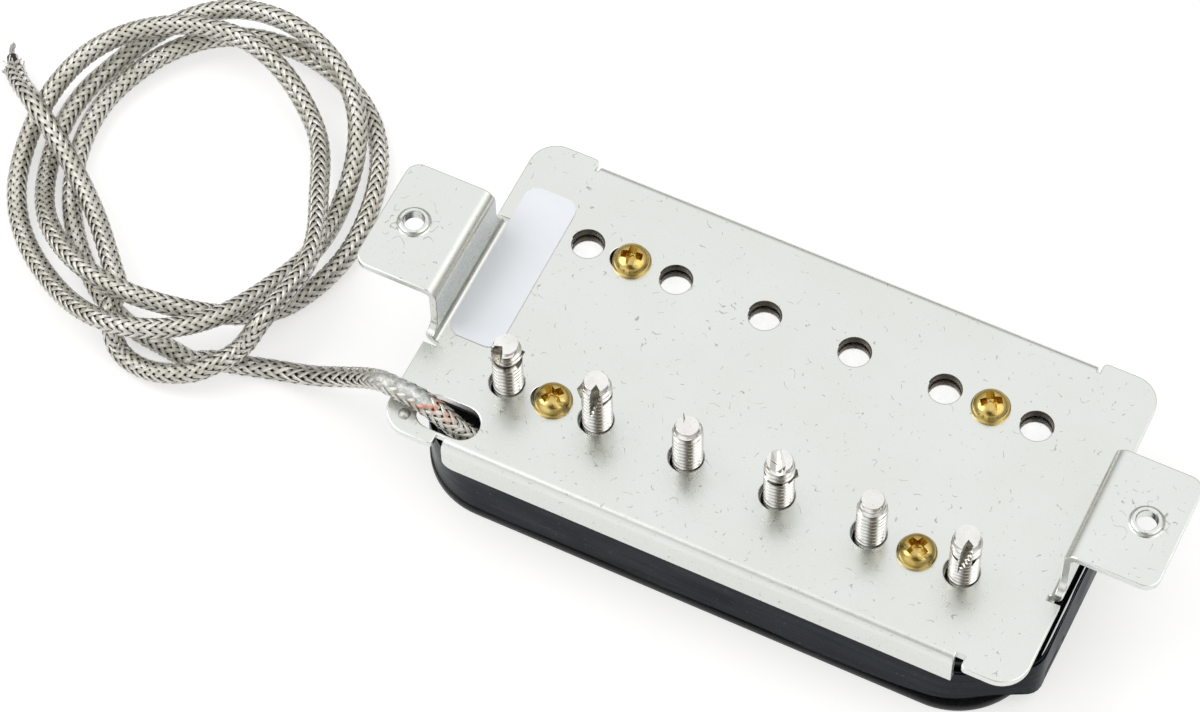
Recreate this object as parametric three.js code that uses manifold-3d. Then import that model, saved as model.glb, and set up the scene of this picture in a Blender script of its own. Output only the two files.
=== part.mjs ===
// A two-coil guitar pickup lying on its face, with its bent baseplate up and a loose braided cable.
// Millimetres. +Z is up and the table is z = 0. X runs along the pickup, and the row of pole
// screws is at -Y.

import * as THREE from 'three';
import { mergeVertices } from 'three/addons/utils/BufferGeometryUtils.js';
import Module from 'manifold-3d';

const wasm = await Module();
wasm.setup();

// Clearances between pieces, and how far a cutter stands past what it cuts.
const touchGap = 0.3;
const reliefGap = 0.5;
const overshoot = 0.3;

// Baseplate.
const sheetThickness = 0.9;
const plateLength = 68.9;
const plateWidth = 37.14;
const plateCornerRadius = 3.0;
const slugSightRadius = 1.65;
const screwHoleRadius = 1.8;
const lipHalfLength = 27.5;
const lipNotchLength = 0.9;
const lipInset = 0.27;
const lipOuter = plateWidth / 2 - lipInset;
const lipInner = lipOuter - sheetThickness;
const lipBendRadius = 1.2;
const lipDrop = 4.4;
const lipCornerRadius = 1.2;
const slotHalfStraight = 1.4;
const slotRadius = 1.95;
const slotCentre = { x: -28.2, y: slotRadius + lipBendRadius - lipOuter };
const footTop = 20.4;
const footReach = 42.9;
const footLength = footReach - plateLength / 2;
const footHalfWidth = 6.55;
const footCornerShare = 0.1775;
const footCornerRadius = footLength * footCornerShare;
const footBendRadius = 0.5;
const legRootHalfWidth = 7.8;
const legRootHeight = 0.7;
const footHoleShare = 0.58;
const footHoleOffset = plateLength / 2 + footLength * footHoleShare;
const footHoleRadius = 1.05;
const collarRadius = 1.6;
const collarHeight = 0.4;

// Bobbins: a core between a wide face flange and a narrower bottom flange. The pair fits between
// the baseplate's lips.
const lipGap = 0.72;
const bottomHalfGap = 1.28;
const faceFlangeStep = 0.7;
const bobbinHeight = 9.4;
const faceFlangeThickness = 1.05;
const bottomFlangeThickness = 1.1;
const bottomFlangeRadius = (lipInner - lipGap - bottomHalfGap) / 2;
const faceFlangeRadius = bottomFlangeRadius + faceFlangeStep;
const coreRadius = 3.2;
const counterboreDepth = 3.0;

// The poles, shared by both rows.
const polePitch = 9.84;
const poleCount = 6;
const rowOffset = bottomFlangeRadius + bottomHalfGap;
const rowHalfSpan = polePitch * (poleCount - 1) / 2;

// Windings and tapes, each a layer round the one before.
const windingDepth = 0.6;
const windingRadius = bottomFlangeRadius - windingDepth;
const coilTapeThickness = 0.25;
const outerTapeThickness = 0.22;
const outerTapeInset = 0.18;
const outerTapeRadius = faceFlangeRadius - outerTapeInset;
const outerTapeBottom = 1.2;
const outerTapeTop = 8.9;
const rightBulgeInset = 0.22;
const leftBulgeInset = 2.12;
const rightBulgeSpread = 2.22;
const rightBulge = {
  x: rowHalfSpan + outerTapeRadius - rightBulgeInset,
  y: rowOffset + rightBulgeSpread,
  radius: 2.0,
};
const leftBulge = { x: rowHalfSpan + outerTapeRadius - leftBulgeInset, y: rowOffset, radius: 2.3 };

// Slug poles.
const slugRadius = 2.4;
const slugLength = 11.9;
const slugChamfer = 0.25;

// Magnet, keeper bar and spacer bar fill the layer between bobbins and baseplate.
const magnetLength = 61;
const magnetGap = 0.38;
const spacerGap = 0.32;
const magnetWidth = (rowOffset - slugRadius - magnetGap) * 2;
const magnetThickness = 3.2;
const keeperWidth = 5.6;
const keeperEdge = magnetWidth / 2 + keeperWidth;
const spacerWidth = 4.0;
const spacerOffset = rowOffset + slugRadius + spacerGap + spacerWidth / 2;

// Pole screws.
const poleScrewRadius = 1.5;
const poleScrewTip = 20.45;
const poleTipChamfer = 0.3;
const poleHeadRadius = 2.35;
const poleHeadHeight = 2.0;
const poleHeadSink = 0.2;
const poleHeadRound = 0.35;
const driverSlotWidth = 0.8;
const driverSlotDepth = 0.8;

// Brass screws that hold the bobbins.
const brassOffset = 19.68;
const brassHeadRadius = 2.0;
const brassHeadHeight = 1.4;
const brassRimHeight = 0.35;
const brassShankRadius = 1.0;
const brassTipHeight = 3.5;
const brassPointLength = 0.8;
const brassShoulderShare = 0.88;
const brassShoulderHeightShare = 0.65;
const brassCrownShare = 0.6;
const brassCrownHeightShare = 0.93;

// Paper label on the plate.
const labelLength = 5.7;
const labelWidth = 19.2;
const labelCentre = { x: -30.15, y: 3.3 };
const labelRadius = 1.5;
const labelThickness = 0.15;

// Solder drop on the plate's corner, beside the cable.
const solderEdge = 1.97;
const solderCentre = { x: -32.3, y: solderEdge - plateWidth / 2 };
const solderRadius = 0.6;
const solderHeight = 0.35;
const solderShoulderShare = 0.8;
const solderShoulderHeightShare = 0.6;

// Cable and leads.
const cableRadius = 1.1;
const coreCableRadius = 0.62;
const conductorRadius = 0.33;
const spliceRadius = 0.95;
const leadRadius = 0.45;
const linkRadius = 0.6;

// Lanes for the leads. Two run along the channel between the keeper bar and the lip, one turns
// round the end of the bars, and one goes down inside the tape's bulge.
const cableLaneShare = 0.5714;
const groundLaneShare = 0.17;
const channelWidth = lipInner - keeperEdge;
const cableLane = keeperEdge + channelWidth * cableLaneShare;
const groundLane = keeperEdge + channelWidth * groundLaneShare;
const barEndGap = 2.6;
const endLane = magnetLength / 2 + barEndGap;
const bulgeLane = rightBulge.x + leadRadius + touchGap / 2;

// How far before its next lane each bend of a lead starts, and how far along it ends.
const groundTurnFar = 5.1;
const groundTurnMiddle = 1.5;
const groundTurnNear = 0.2;
const hotTurnFar = 3.6;
const hotTurnNear = 0.8;
const hotTurnAside = 0.6;
const dipFar = 1.6;
const dipNear = 0.4;
const dipEnd = 0.2;

// Routes, as points chosen by hand along each piece's centre line.
const innerRunRoute = [
  [-14, -cableLane, 11],
  [-19, -cableLane, 11],
  [-23.2, -cableLane, 11],
  [-25.2, -cableLane, 11.4],
  [-26.55, -cableLane, 12.75],
];
const innerCoreRoute = [
  [-8.9, -cableLane, 11],
  [-13.7, -cableLane, 11],
];
const spliceRoute = [
  [-0.6, -cableLane, 11],
  [-8.6, -cableLane, 11],
];
const hotLeadRoute = [
  [-0.3, -cableLane, 11],
  [12, -cableLane, 11],
  [24, -cableLane, 11],
  [bulgeLane - hotTurnFar, hotTurnAside - cableLane, 10.9],
  [bulgeLane - hotTurnNear, -rightBulge.y - dipFar, 10.1],
  [bulgeLane, -rightBulge.y - dipNear, 8.2],
  [bulgeLane, -rightBulge.y, 5.9],
];
const groundLeadRoute = [
  [-20, -groundLane, 11],
  [0, -groundLane, 11],
  [20, -groundLane, 11],
  [endLane - groundTurnFar, -groundLane, 11],
  [endLane - groundTurnMiddle, -keeperEdge - dipEnd, 11.4],
  [endLane - groundTurnNear, -rowOffset, 11.7],
  [endLane, -3, 11.7],
  [endLane, 5, 11.6],
  [bulgeLane, rightBulge.y - dipFar, 10.4],
  [bulgeLane, rightBulge.y - dipEnd, 8.2],
  [bulgeLane, rightBulge.y, 5.9],
];
const linkRoute = [
  [bulgeLane, -rightBulge.y, 5],
  [bulgeLane, rightBulge.y, 5],
];
const cableTailRoute = [
  [-26.72, -cableLane, 13.02],
  [-27.35, -cableLane, 14],
  [-28.3, -cableLane, 14.65],
  [-30.2, -cableLane, 14.95],
  [-33.2, -cableLane, 14.95],
  [-35.3, -14.7, 14.65],
  [-37.4, -14, 12.6],
  [-40.2, -13.1, 9.4],
  [-43, -12.3, 6.2],
  [-45.8, -11.7, 3.4],
  [-48.5, -11.5, 1.7],
  [-51.2, -11.9, 1.15],
  [-54.4, -12.8, 1.12],
  [-57.6, -13.7, 1.12],
];
const cableEndRoute = [
  [-53.9, -12.5, 4.0],
  [-55.2, -14.5, 3.7],
  [-57.1, -16.3, 3.0],
  [-59.6, -17.3, 2.4],
  [-62.2, -17.5, 1.5],
  [-64.8, -17.1, 1.15],
  [-66.4, -16.4, 1.5],
  [-67.3, -15.5, 2.9],
  [-68.6, -13.5, 3.8],
  [-68.4, -11.8, 3.9],
  [-70.5, -9.4, 3.9],
  [-75.6, -4.1, 3.4],
  [-81.3, 0.4, 4.0],
  [-87.1, 4.0, 5.3],
  [-91.4, 7.3, 2.9],
  [-93.1, 9.1, 1.6],
];
const endCoreRoute = [
  [-93.35, 9.4, 1.5],
  [-94.1, 10.4, 1.3],
];
const endConductorRoute = [
  [-94.3, 10.65, 1.25],
  [-94.75, 11.7, 1.1],
  [-94.9, 12.9, 0.9],
];

// The coil is three loops about a centre. Each loop has eight stations, a share of a turn apart,
// and each station has the loop's reach from the centre and its lift above the table.
const coilCentre = { x: -67.9, y: 4.0 };
const coilStartDegrees = -75;
const stationsPerLoop = 8;
const stepsPerStation = 3;
const coilReach = [
  18.6, 14.2, 13.5, 15.9, 19.1, 20.2, 18.1, 17.1,
  16.9, 16.2, 16.3, 18.7, 21.4, 19.1, 14.9, 15.8,
  20.8, 18.8, 19.4, 19.8, 17.5, 14.2, 13.1, 18.3,
];
const coilLift = [
  0, 0, 0.1, 0.6, 1.5, 0.1, 0.2, 0,
  5.2, 4.2, 0.2, 0, 3.4, 3.1, 0.1, 3.2,
  6.3, 1.6, 0, 3.4, 4.2, 1.6, 3.1, 5.1,
];

// Counts for the faceted shapes. A half turn or a full circle takes twice its count of segments.
const outlineSegments = 8;
const flangeSegments = 11;
const bendSegments = 3;
const windingSegments = 6;
const turnedSides = 18;
const cableSides = 8;
const coilSides = 6;
const leadSides = 6;
const cableStep = 4.6;
const innerStep = 2.2;
const endStep = 0.8;
const gapStep = 0.5;
const gapReach = 8.0;

// Quarter turns used by the arcs.
const quarter = Math.PI / 2;
const half = Math.PI;
const full = Math.PI * 2;

// Heights worked out from the sizes above.
const plateUnder = bobbinHeight + magnetThickness;
const plateTop = plateUnder + sheetThickness;
const plateHalfLength = plateLength / 2;
const footUnder = footTop - sheetThickness;
const slugHoleRadius = slugRadius + touchGap;
const poleHoleRadius = poleScrewRadius + touchGap;
const counterboreRadius = poleHeadRadius + touchGap;
const brassHoleRadius = brassShankRadius + touchGap;
const bottomFlangeLow = bobbinHeight - bottomFlangeThickness;

// Materials.
function material(color, roughness, metalness) {
  return new THREE.MeshStandardMaterial({ color, roughness, metalness });
}

const satinNickel = () => material(0xdcdcd8, 0.42, 0.9);
const brightSteel = () => material(0xd3d3d0, 0.25, 1.0);
const dullSteel = () => material(0xa5a39c, 0.5, 1.0);
const greySteel = () => material(0x8b8a86, 0.55, 0.9);
const magnetGrey = () => material(0x5c5b5a, 0.7, 0.5);
const brass = () => material(0xc9a64a, 0.3, 1.0);
const blackPlastic = () => material(0x111214, 0.35, 0.0);
const copper = () => material(0x9c4a25, 0.4, 0.8);
const blackTape = () => material(0x1b1e23, 0.38, 0.0);
const whitePaper = () => material(0xf1f3f6, 0.75, 0.0);
const mapleWood = () => material(0xc8a679, 0.7, 0.0);
const silverBraid = () => material(0xb9b6ab, 0.35, 0.9);
const blackInsulation = () => material(0x17181a, 0.5, 0.0);
const whiteInsulation = () => material(0xe4e2da, 0.55, 0.0);
const tinnedWire = () => material(0xc4c6c8, 0.3, 1.0);
const solder = () => material(0xb4b4b2, 0.35, 0.9);

// Solids for joins and cuts.
function toSolid(geometry) {
  const clean = geometry.clone();
  clean.deleteAttribute('normal');
  clean.deleteAttribute('uv');
  const merged = mergeVertices(clean);
  const mesh = new wasm.Mesh({
    numProp: 3,
    vertProperties: new Float32Array(merged.attributes.position.array),
    triVerts: new Uint32Array(merged.index.array),
  });
  return new wasm.Manifold(mesh);
}

function toGeometry(solid) {
  const mesh = solid.getMesh();
  const geometry = new THREE.BufferGeometry();
  geometry.setAttribute('position', new THREE.BufferAttribute(mesh.vertProperties, 3));
  geometry.setIndex(new THREE.BufferAttribute(mesh.triVerts, 1));
  geometry.computeVertexNormals();
  return geometry;
}

function joinAll(solids) {
  return solids.reduce((sum, solid) => sum.add(solid));
}

function cutAll(solid, tools) {
  return tools.reduce((rest, tool) => rest.subtract(tool), solid);
}

// Outlines seen from above.
function stadium(halfStraight, radius, x = 0, y = 0) {
  const shape = new THREE.Shape();
  shape.absarc(x + halfStraight, y, radius, -quarter, quarter, false);
  shape.absarc(x - halfStraight, y, radius, quarter, quarter * 3, false);
  shape.closePath();
  return shape;
}

function roundedRectangle(length, width, radius, x = 0, y = 0) {
  const dx = length / 2 - radius;
  const dy = width / 2 - radius;
  const shape = new THREE.Shape();
  shape.absarc(x + dx, y - dy, radius, -quarter, 0, false);
  shape.absarc(x + dx, y + dy, radius, 0, quarter, false);
  shape.absarc(x - dx, y + dy, radius, quarter, half, false);
  shape.absarc(x - dx, y - dy, radius, half, quarter * 3, false);
  shape.closePath();
  return shape;
}

function disc(radius, x, y) {
  const shape = new THREE.Shape();
  shape.absarc(x, y, radius, 0, full, false);
  return shape;
}

// An outline extruded upwards from one height to another.
function prism(shape, low, high, segments = outlineSegments) {
  const geometry = new THREE.ExtrudeGeometry(shape, {
    depth: high - low,
    bevelEnabled: false,
    curveSegments: segments,
  });
  return geometry.translate(0, 0, low);
}

function ring(outer, inner, low, high) {
  const solid = toSolid(prism(outer, low, high, windingSegments));
  return solid.subtract(toSolid(prism(inner, low - overshoot, high + overshoot, windingSegments)));
}

function block(lowX, highX, lowY, highY, lowZ, highZ) {
  const geometry = new THREE.BoxGeometry(highX - lowX, highY - lowY, highZ - lowZ);
  return geometry.translate((lowX + highX) / 2, (lowY + highY) / 2, (lowZ + highZ) / 2);
}

function post(radius, x, y, low, high) {
  return toSolid(prism(disc(radius, x, y), low, high));
}

// An outline drawn in the XZ plane, extruded along Y about the middle.
function extrudeAlongY(shape, halfWidth) {
  const geometry = new THREE.ExtrudeGeometry(shape, {
    depth: halfWidth * 2,
    bevelEnabled: false,
    curveSegments: bendSegments,
  });
  return geometry.rotateX(quarter).translate(0, halfWidth, 0);
}

// An outline drawn in the YZ plane, extruded along X about the middle.
function extrudeAlongX(shape, halfLength) {
  const geometry = new THREE.ExtrudeGeometry(shape, {
    depth: halfLength * 2,
    bevelEnabled: false,
    curveSegments: bendSegments,
  });
  return geometry.rotateX(quarter).rotateZ(quarter).translate(-halfLength, 0, 0);
}

// A profile of radius and height points, turned about the Z axis.
function turned(profile) {
  const points = profile.map(([radius, height]) => new THREE.Vector2(radius, height));
  return new THREE.LatheGeometry(points, turnedSides).rotateX(quarter);
}

function poleX(index) {
  return index * polePitch - rowHalfSpan;
}

function poleXs() {
  return Array.from({ length: poleCount }, (_, index) => poleX(index));
}

// Baseplate: the flat sheet.
function plateSheet() {
  const shape = roundedRectangle(plateLength, plateWidth, plateCornerRadius);
  shape.holes.push(stadium(slotHalfStraight, slotRadius, slotCentre.x, slotCentre.y));
  for (const x of poleXs()) {
    shape.holes.push(disc(slugSightRadius, x, rowOffset));
    shape.holes.push(disc(screwHoleRadius, x, -rowOffset));
  }
  for (const x of [-brassOffset, brassOffset]) {
    shape.holes.push(disc(brassHoleRadius, x, rowOffset));
    shape.holes.push(disc(brassHoleRadius, x, -rowOffset));
  }
  return toSolid(prism(shape, plateUnder, plateTop));
}

// A lip: the sheet's long edge, bent down, with one rounded lower corner.
function lip(side) {
  const bendCentreY = lipOuter - lipBendRadius;
  const bendCentreZ = plateTop - lipBendRadius;
  const innerRadius = lipBendRadius - sheetThickness;
  const low = plateTop - lipDrop;
  const profile = new THREE.Shape();
  profile.moveTo(bendCentreY - reliefGap, plateTop);
  profile.lineTo(bendCentreY - reliefGap, plateUnder);
  profile.absarc(bendCentreY, bendCentreZ, innerRadius, quarter, 0, true);
  profile.lineTo(lipInner, low);
  profile.lineTo(lipOuter, low);
  profile.absarc(bendCentreY, bendCentreZ, lipBendRadius, 0, quarter, false);
  profile.closePath();
  const strip = toSolid(extrudeAlongX(profile, lipHalfLength));
  const face = new THREE.Shape();
  face.moveTo(lipHalfLength, plateTop);
  face.lineTo(-lipHalfLength, plateTop);
  face.lineTo(-lipHalfLength, low);
  face.absarc(lipHalfLength - lipCornerRadius, low + lipCornerRadius, lipCornerRadius, -quarter, 0, false);
  face.closePath();
  const rounded = strip.intersect(toSolid(extrudeAlongY(face, plateWidth)));
  const turn = new THREE.Matrix4().makeRotationZ(side > 0 ? 0 : half);
  return toSolid(toGeometry(rounded).applyMatrix4(turn));
}

// A foot: the sheet's short end, bent up into a leg and out again, narrowing above its root.
function foot(side) {
  const legOuter = plateHalfLength;
  const legInner = legOuter - sheetThickness;
  const outerRadius = footBendRadius + sheetThickness;
  const lowBendX = legInner - footBendRadius;
  const lowBendZ = plateTop + footBendRadius;
  const highBendX = legOuter + footBendRadius;
  const highBendZ = footUnder - footBendRadius;
  const rootX = lowBendX - outerRadius;
  const bend = new THREE.Shape();
  bend.moveTo(rootX, plateTop);
  bend.lineTo(rootX, plateUnder);
  bend.absarc(lowBendX, lowBendZ, outerRadius, -quarter, 0, false);
  bend.absarc(highBendX, highBendZ, footBendRadius, half, quarter, true);
  bend.lineTo(footReach, footUnder);
  bend.lineTo(footReach, footTop);
  bend.absarc(highBendX, highBendZ, outerRadius, quarter, half, false);
  bend.absarc(lowBendX, lowBendZ, footBendRadius, 0, -quarter, true);
  bend.closePath();
  const strip = toSolid(extrudeAlongY(bend, legRootHalfWidth));

  const filletRadius = legRootHalfWidth - footHalfWidth;
  const filletLow = plateTop + legRootHeight;
  const end = new THREE.Shape();
  end.moveTo(-legRootHalfWidth, plateUnder);
  end.lineTo(legRootHalfWidth, plateUnder);
  end.absarc(legRootHalfWidth, filletLow + filletRadius, filletRadius, -quarter, -half, true);
  end.lineTo(footHalfWidth, footTop);
  end.lineTo(-footHalfWidth, footTop);
  end.absarc(-legRootHalfWidth, filletLow + filletRadius, filletRadius, 0, -quarter, true);
  end.closePath();
  const endSolid = toSolid(extrudeAlongX(end, footReach));

  const tipShape = new THREE.Shape();
  tipShape.moveTo(rootX - reliefGap, -legRootHalfWidth);
  tipShape.lineTo(highBendX, -legRootHalfWidth);
  tipShape.lineTo(highBendX, -footHalfWidth);
  tipShape.absarc(footReach - footCornerRadius, footCornerRadius - footHalfWidth, footCornerRadius,
    -quarter, 0, false);
  tipShape.absarc(footReach - footCornerRadius, footHalfWidth - footCornerRadius, footCornerRadius,
    0, quarter, false);
  tipShape.lineTo(highBendX, footHalfWidth);
  tipShape.lineTo(highBendX, legRootHalfWidth);
  tipShape.lineTo(rootX - reliefGap, legRootHalfWidth);
  tipShape.closePath();
  const tip = toSolid(prism(tipShape, plateUnder, footTop));

  const collar = post(collarRadius, footHoleOffset, 0, footUnder, footTop + collarHeight);
  const holeTop = footTop + collarHeight + overshoot;
  const hole = post(footHoleRadius, footHoleOffset, 0, footUnder - overshoot, holeTop);
  const solid = strip.intersect(endSolid).intersect(tip).add(collar).subtract(hole);
  const turn = new THREE.Matrix4().makeRotationZ(side > 0 ? 0 : half);
  return toSolid(toGeometry(solid).applyMatrix4(turn));
}

function baseplate() {
  const windows = [];
  const lipWindow = lipHalfLength + lipNotchLength;
  const lipJoint = lipOuter - lipBendRadius;
  const legWindow = legRootHalfWidth + reliefGap;
  const legJoint = plateHalfLength - sheetThickness - footBendRadius;
  for (const side of [-1, 1]) {
    const nearY = Math.min(side * lipJoint, side * plateWidth);
    const farY = Math.max(side * lipJoint, side * plateWidth);
    windows.push(toSolid(block(-lipWindow, lipWindow, nearY, farY, 0, footTop)));
    const nearX = Math.min(side * legJoint, side * plateLength);
    const farX = Math.max(side * legJoint, side * plateLength);
    windows.push(toSolid(block(nearX, farX, -legWindow, legWindow, 0, footTop)));
  }
  const sheet = cutAll(plateSheet(), windows);
  return toGeometry(joinAll([sheet, lip(1), lip(-1), foot(1), foot(-1)]));
}

// Bobbins.
function bobbinBody() {
  return joinAll([
    toSolid(prism(stadium(rowHalfSpan, faceFlangeRadius), 0, faceFlangeThickness, flangeSegments)),
    toSolid(prism(stadium(rowHalfSpan, coreRadius), 0, bobbinHeight, windingSegments)),
    toSolid(prism(stadium(rowHalfSpan, bottomFlangeRadius), bottomFlangeLow, bobbinHeight, windingSegments)),
  ]);
}

function brassHoles() {
  const low = brassTipHeight - touchGap;
  return [-brassOffset, brassOffset].map((x) => post(brassHoleRadius, x, 0, low, bobbinHeight + overshoot));
}

function screwBobbin() {
  const holes = poleXs().map((x) => post(poleHoleRadius, x, 0, -overshoot, bobbinHeight + overshoot));
  const bores = poleXs().map((x) => post(counterboreRadius, x, 0, -overshoot, counterboreDepth));
  return toGeometry(cutAll(bobbinBody(), [...holes, ...bores, ...brassHoles()]));
}

function slugBobbin() {
  const holes = poleXs().map((x) => post(slugHoleRadius, x, 0, -overshoot, bobbinHeight + overshoot));
  return toGeometry(cutAll(bobbinBody(), [...holes, ...brassHoles()]));
}

function winding() {
  const inner = stadium(rowHalfSpan, coreRadius + touchGap);
  const outer = stadium(rowHalfSpan, windingRadius);
  return toGeometry(ring(outer, inner, faceFlangeThickness, bottomFlangeLow));
}

function coilTape() {
  const innerRadius = windingRadius + touchGap;
  const inner = stadium(rowHalfSpan, innerRadius);
  const outer = stadium(rowHalfSpan, innerRadius + coilTapeThickness);
  return toGeometry(ring(outer, inner, faceFlangeThickness, bottomFlangeLow));
}

// The outer tape runs taut round the corners of both coils and over a bulge at each end.
function tapeOutline(inset) {
  const coilRound = outerTapeRadius - inset;
  const shape = new THREE.Shape();
  for (const [sideX, bulge] of [[1, rightBulge], [-1, leftBulge]]) {
    const round = bulge.radius - inset;
    const across = bulge.x - rowHalfSpan;
    const along = bulge.y - rowOffset;
    const reach = Math.hypot(across, along);
    const tangent = Math.acos((coilRound - round) / reach) + Math.atan2(along, across);
    if (sideX > 0) {
      shape.absarc(rowHalfSpan, -rowOffset, coilRound, -quarter, -tangent, false);
      shape.absarc(bulge.x, -bulge.y, round, -tangent, 0, false);
      shape.absarc(bulge.x, bulge.y, round, 0, tangent, false);
      shape.absarc(rowHalfSpan, rowOffset, coilRound, tangent, quarter, false);
    } else {
      shape.absarc(-rowHalfSpan, rowOffset, coilRound, quarter, half - tangent, false);
      shape.absarc(-bulge.x, bulge.y, round, half - tangent, half, false);
      shape.absarc(-bulge.x, -bulge.y, round, half, half + tangent, false);
      shape.absarc(-rowHalfSpan, -rowOffset, coilRound, half + tangent, quarter * 3, false);
    }
  }
  shape.closePath();
  return shape;
}

function outerTape() {
  return toGeometry(ring(tapeOutline(0), tapeOutline(outerTapeThickness), outerTapeBottom, outerTapeTop));
}

// Bars between the bobbins and the plate.
function barMagnet() {
  const halfWidth = magnetWidth / 2;
  return block(-magnetLength / 2, magnetLength / 2, -halfWidth, halfWidth, bobbinHeight, plateUnder);
}

function keeperBar() {
  const high = -magnetWidth / 2;
  const bar = toSolid(block(-magnetLength / 2, magnetLength / 2, high - keeperWidth, high,
    bobbinHeight, plateUnder));
  const low = bobbinHeight - overshoot;
  const top = plateUnder + overshoot;
  const poles = poleXs().map((x) => post(poleHoleRadius, x, -rowOffset, low, top));
  const brasses = [-brassOffset, brassOffset].map((x) => post(brassHoleRadius, x, -rowOffset, low, top));
  return toGeometry(cutAll(bar, [...poles, ...brasses]));
}

function spacerBar() {
  const low = spacerOffset - spacerWidth / 2;
  return block(-magnetLength / 2, magnetLength / 2, low, low + spacerWidth, bobbinHeight, plateUnder);
}

// Poles and screws.
function slug() {
  return turned([
    [0, 0],
    [slugRadius - slugChamfer, 0],
    [slugRadius, slugChamfer],
    [slugRadius, slugLength - slugChamfer],
    [slugRadius - slugChamfer, slugLength],
    [0, slugLength],
  ]);
}

function poleScrew() {
  const headTop = poleHeadSink + poleHeadHeight;
  const body = toSolid(turned([
    [0, poleHeadSink],
    [poleHeadRadius - poleHeadRound, poleHeadSink],
    [poleHeadRadius, poleHeadSink + poleHeadRound],
    [poleHeadRadius, headTop],
    [poleScrewRadius, headTop],
    [poleScrewRadius, poleScrewTip - poleTipChamfer],
    [poleScrewRadius - poleTipChamfer, poleScrewTip],
    [0, poleScrewTip],
  ]));
  const slotHalf = driverSlotWidth / 2;
  const slotTop = poleHeadSink + driverSlotDepth;
  const driverSlot = toSolid(block(-slotHalf, slotHalf, -counterboreRadius, counterboreRadius, 0, slotTop));
  return toGeometry(body.subtract(driverSlot));
}

function brassScrew() {
  const headTop = plateTop + brassHeadHeight;
  return turned([
    [0, brassTipHeight],
    [brassShankRadius, brassTipHeight + brassPointLength],
    [brassShankRadius, plateTop],
    [brassHeadRadius, plateTop],
    [brassHeadRadius, plateTop + brassRimHeight],
    [brassHeadRadius * brassShoulderShare, plateTop + brassHeadHeight * brassShoulderHeightShare],
    [brassHeadRadius * brassCrownShare, plateTop + brassHeadHeight * brassCrownHeightShare],
    [0, headTop],
  ]);
}

function paperLabel() {
  const shape = roundedRectangle(labelLength, labelWidth, labelRadius, labelCentre.x, labelCentre.y);
  return prism(shape, plateTop, plateTop + labelThickness, bendSegments);
}

function solderDrop() {
  const drop = turned([
    [0, plateTop],
    [solderRadius, plateTop],
    [solderRadius * solderShoulderShare, plateTop + solderHeight * solderShoulderHeightShare],
    [0, plateTop + solderHeight],
  ]);
  return drop.translate(solderCentre.x, solderCentre.y, 0);
}

// Cable and leads: a regular section swept along a smooth route.
function section(radius, sides) {
  const points = [];
  for (let side = 0; side < sides; side += 1) {
    const angle = full * side / sides;
    points.push(new THREE.Vector2(radius * Math.cos(angle), radius * Math.sin(angle)));
  }
  return new THREE.Shape(points);
}

function routeCurve(route) {
  const points = route.map(([x, y, z]) => new THREE.Vector3(x, y, z));
  return points.length > 2 ? new THREE.CatmullRomCurve3(points) : new THREE.LineCurve3(...points);
}

function sweep(route, radius, sides, step) {
  const curve = routeCurve(route);
  const steps = route.length > 2 ? Math.ceil(curve.getLength() / step) : 1;
  return new THREE.ExtrudeGeometry(section(radius, sides), {
    steps,
    bevelEnabled: false,
    extrudePath: curve,
  });
}

// The coil's centre line: stations joined by smooth steps of reach and lift.
function smoothRow(row, place) {
  const last = row.length - 1;
  const index = Math.min(Math.floor(place), last - 1);
  const share = place - index;
  const before = index > 0 ? row[index - 1] : 2 * row[0] - row[1];
  const after = index + 2 <= last ? row[index + 2] : 2 * row[last] - row[last - 1];
  const here = row[index];
  const next = row[index + 1];
  const slope = (next - before) / 2;
  const nextSlope = (after - here) / 2;
  const cubed = share ** 3;
  const squared = share ** 2;
  return here * (2 * cubed - 3 * squared + 1) + slope * (cubed - 2 * squared + share)
    + next * (3 * squared - 2 * cubed) + nextSlope * (cubed - squared);
}

function coilPoints() {
  const points = [];
  const count = (coilReach.length - 1) * stepsPerStation;
  for (let step = 0; step <= count; step += 1) {
    const place = step / stepsPerStation;
    const angle = THREE.MathUtils.degToRad(coilStartDegrees) - full * place / stationsPerLoop;
    const reach = smoothRow(coilReach, place);
    const lift = Math.max(smoothRow(coilLift, place), 0);
    points.push(new THREE.Vector3(
      coilCentre.x + reach * Math.cos(angle),
      coilCentre.y + reach * Math.sin(angle),
      cableRadius + lift,
    ));
  }
  const first = points[0].clone().sub(points[1]).setLength(cableRadius * 2).add(points[0]);
  const tail = points.at(-1).clone().sub(points.at(-2)).setLength(cableRadius * 2).add(points.at(-1));
  return [first, ...points, tail];
}

// One unbroken tube through a list of points, with a frame carried along it.
function tubeThrough(points, radius, sides) {
  const positions = [];
  const indices = [];
  const last = points.length - 1;
  let up = new THREE.Vector3(0, 0, 1);
  points.forEach((point, at) => {
    const ahead = points[Math.min(at + 1, last)].clone().sub(points[Math.max(at - 1, 0)]).normalize();
    up = up.clone().addScaledVector(ahead, -up.dot(ahead)).normalize();
    const aside = new THREE.Vector3().crossVectors(ahead, up);
    for (let side = 0; side < sides; side += 1) {
      const angle = full * side / sides;
      const place = point.clone().addScaledVector(up, radius * Math.cos(angle))
        .addScaledVector(aside, radius * Math.sin(angle));
      positions.push(place.x, place.y, place.z);
    }
  });
  for (let at = 0; at < last; at += 1) {
    for (let side = 0; side < sides; side += 1) {
      const a = at * sides + side;
      const b = at * sides + (side + 1) % sides;
      indices.push(a, b, a + sides, b, b + sides, a + sides);
    }
  }
  const end = last * sides;
  for (let side = 1; side < sides - 1; side += 1) {
    indices.push(0, side + 1, side);
    indices.push(end, end + side, end + side + 1);
  }
  const geometry = new THREE.BufferGeometry();
  geometry.setAttribute('position', new THREE.Float32BufferAttribute(positions, 3));
  geometry.setIndex(indices);
  geometry.computeVertexNormals();
  return geometry;
}

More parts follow.
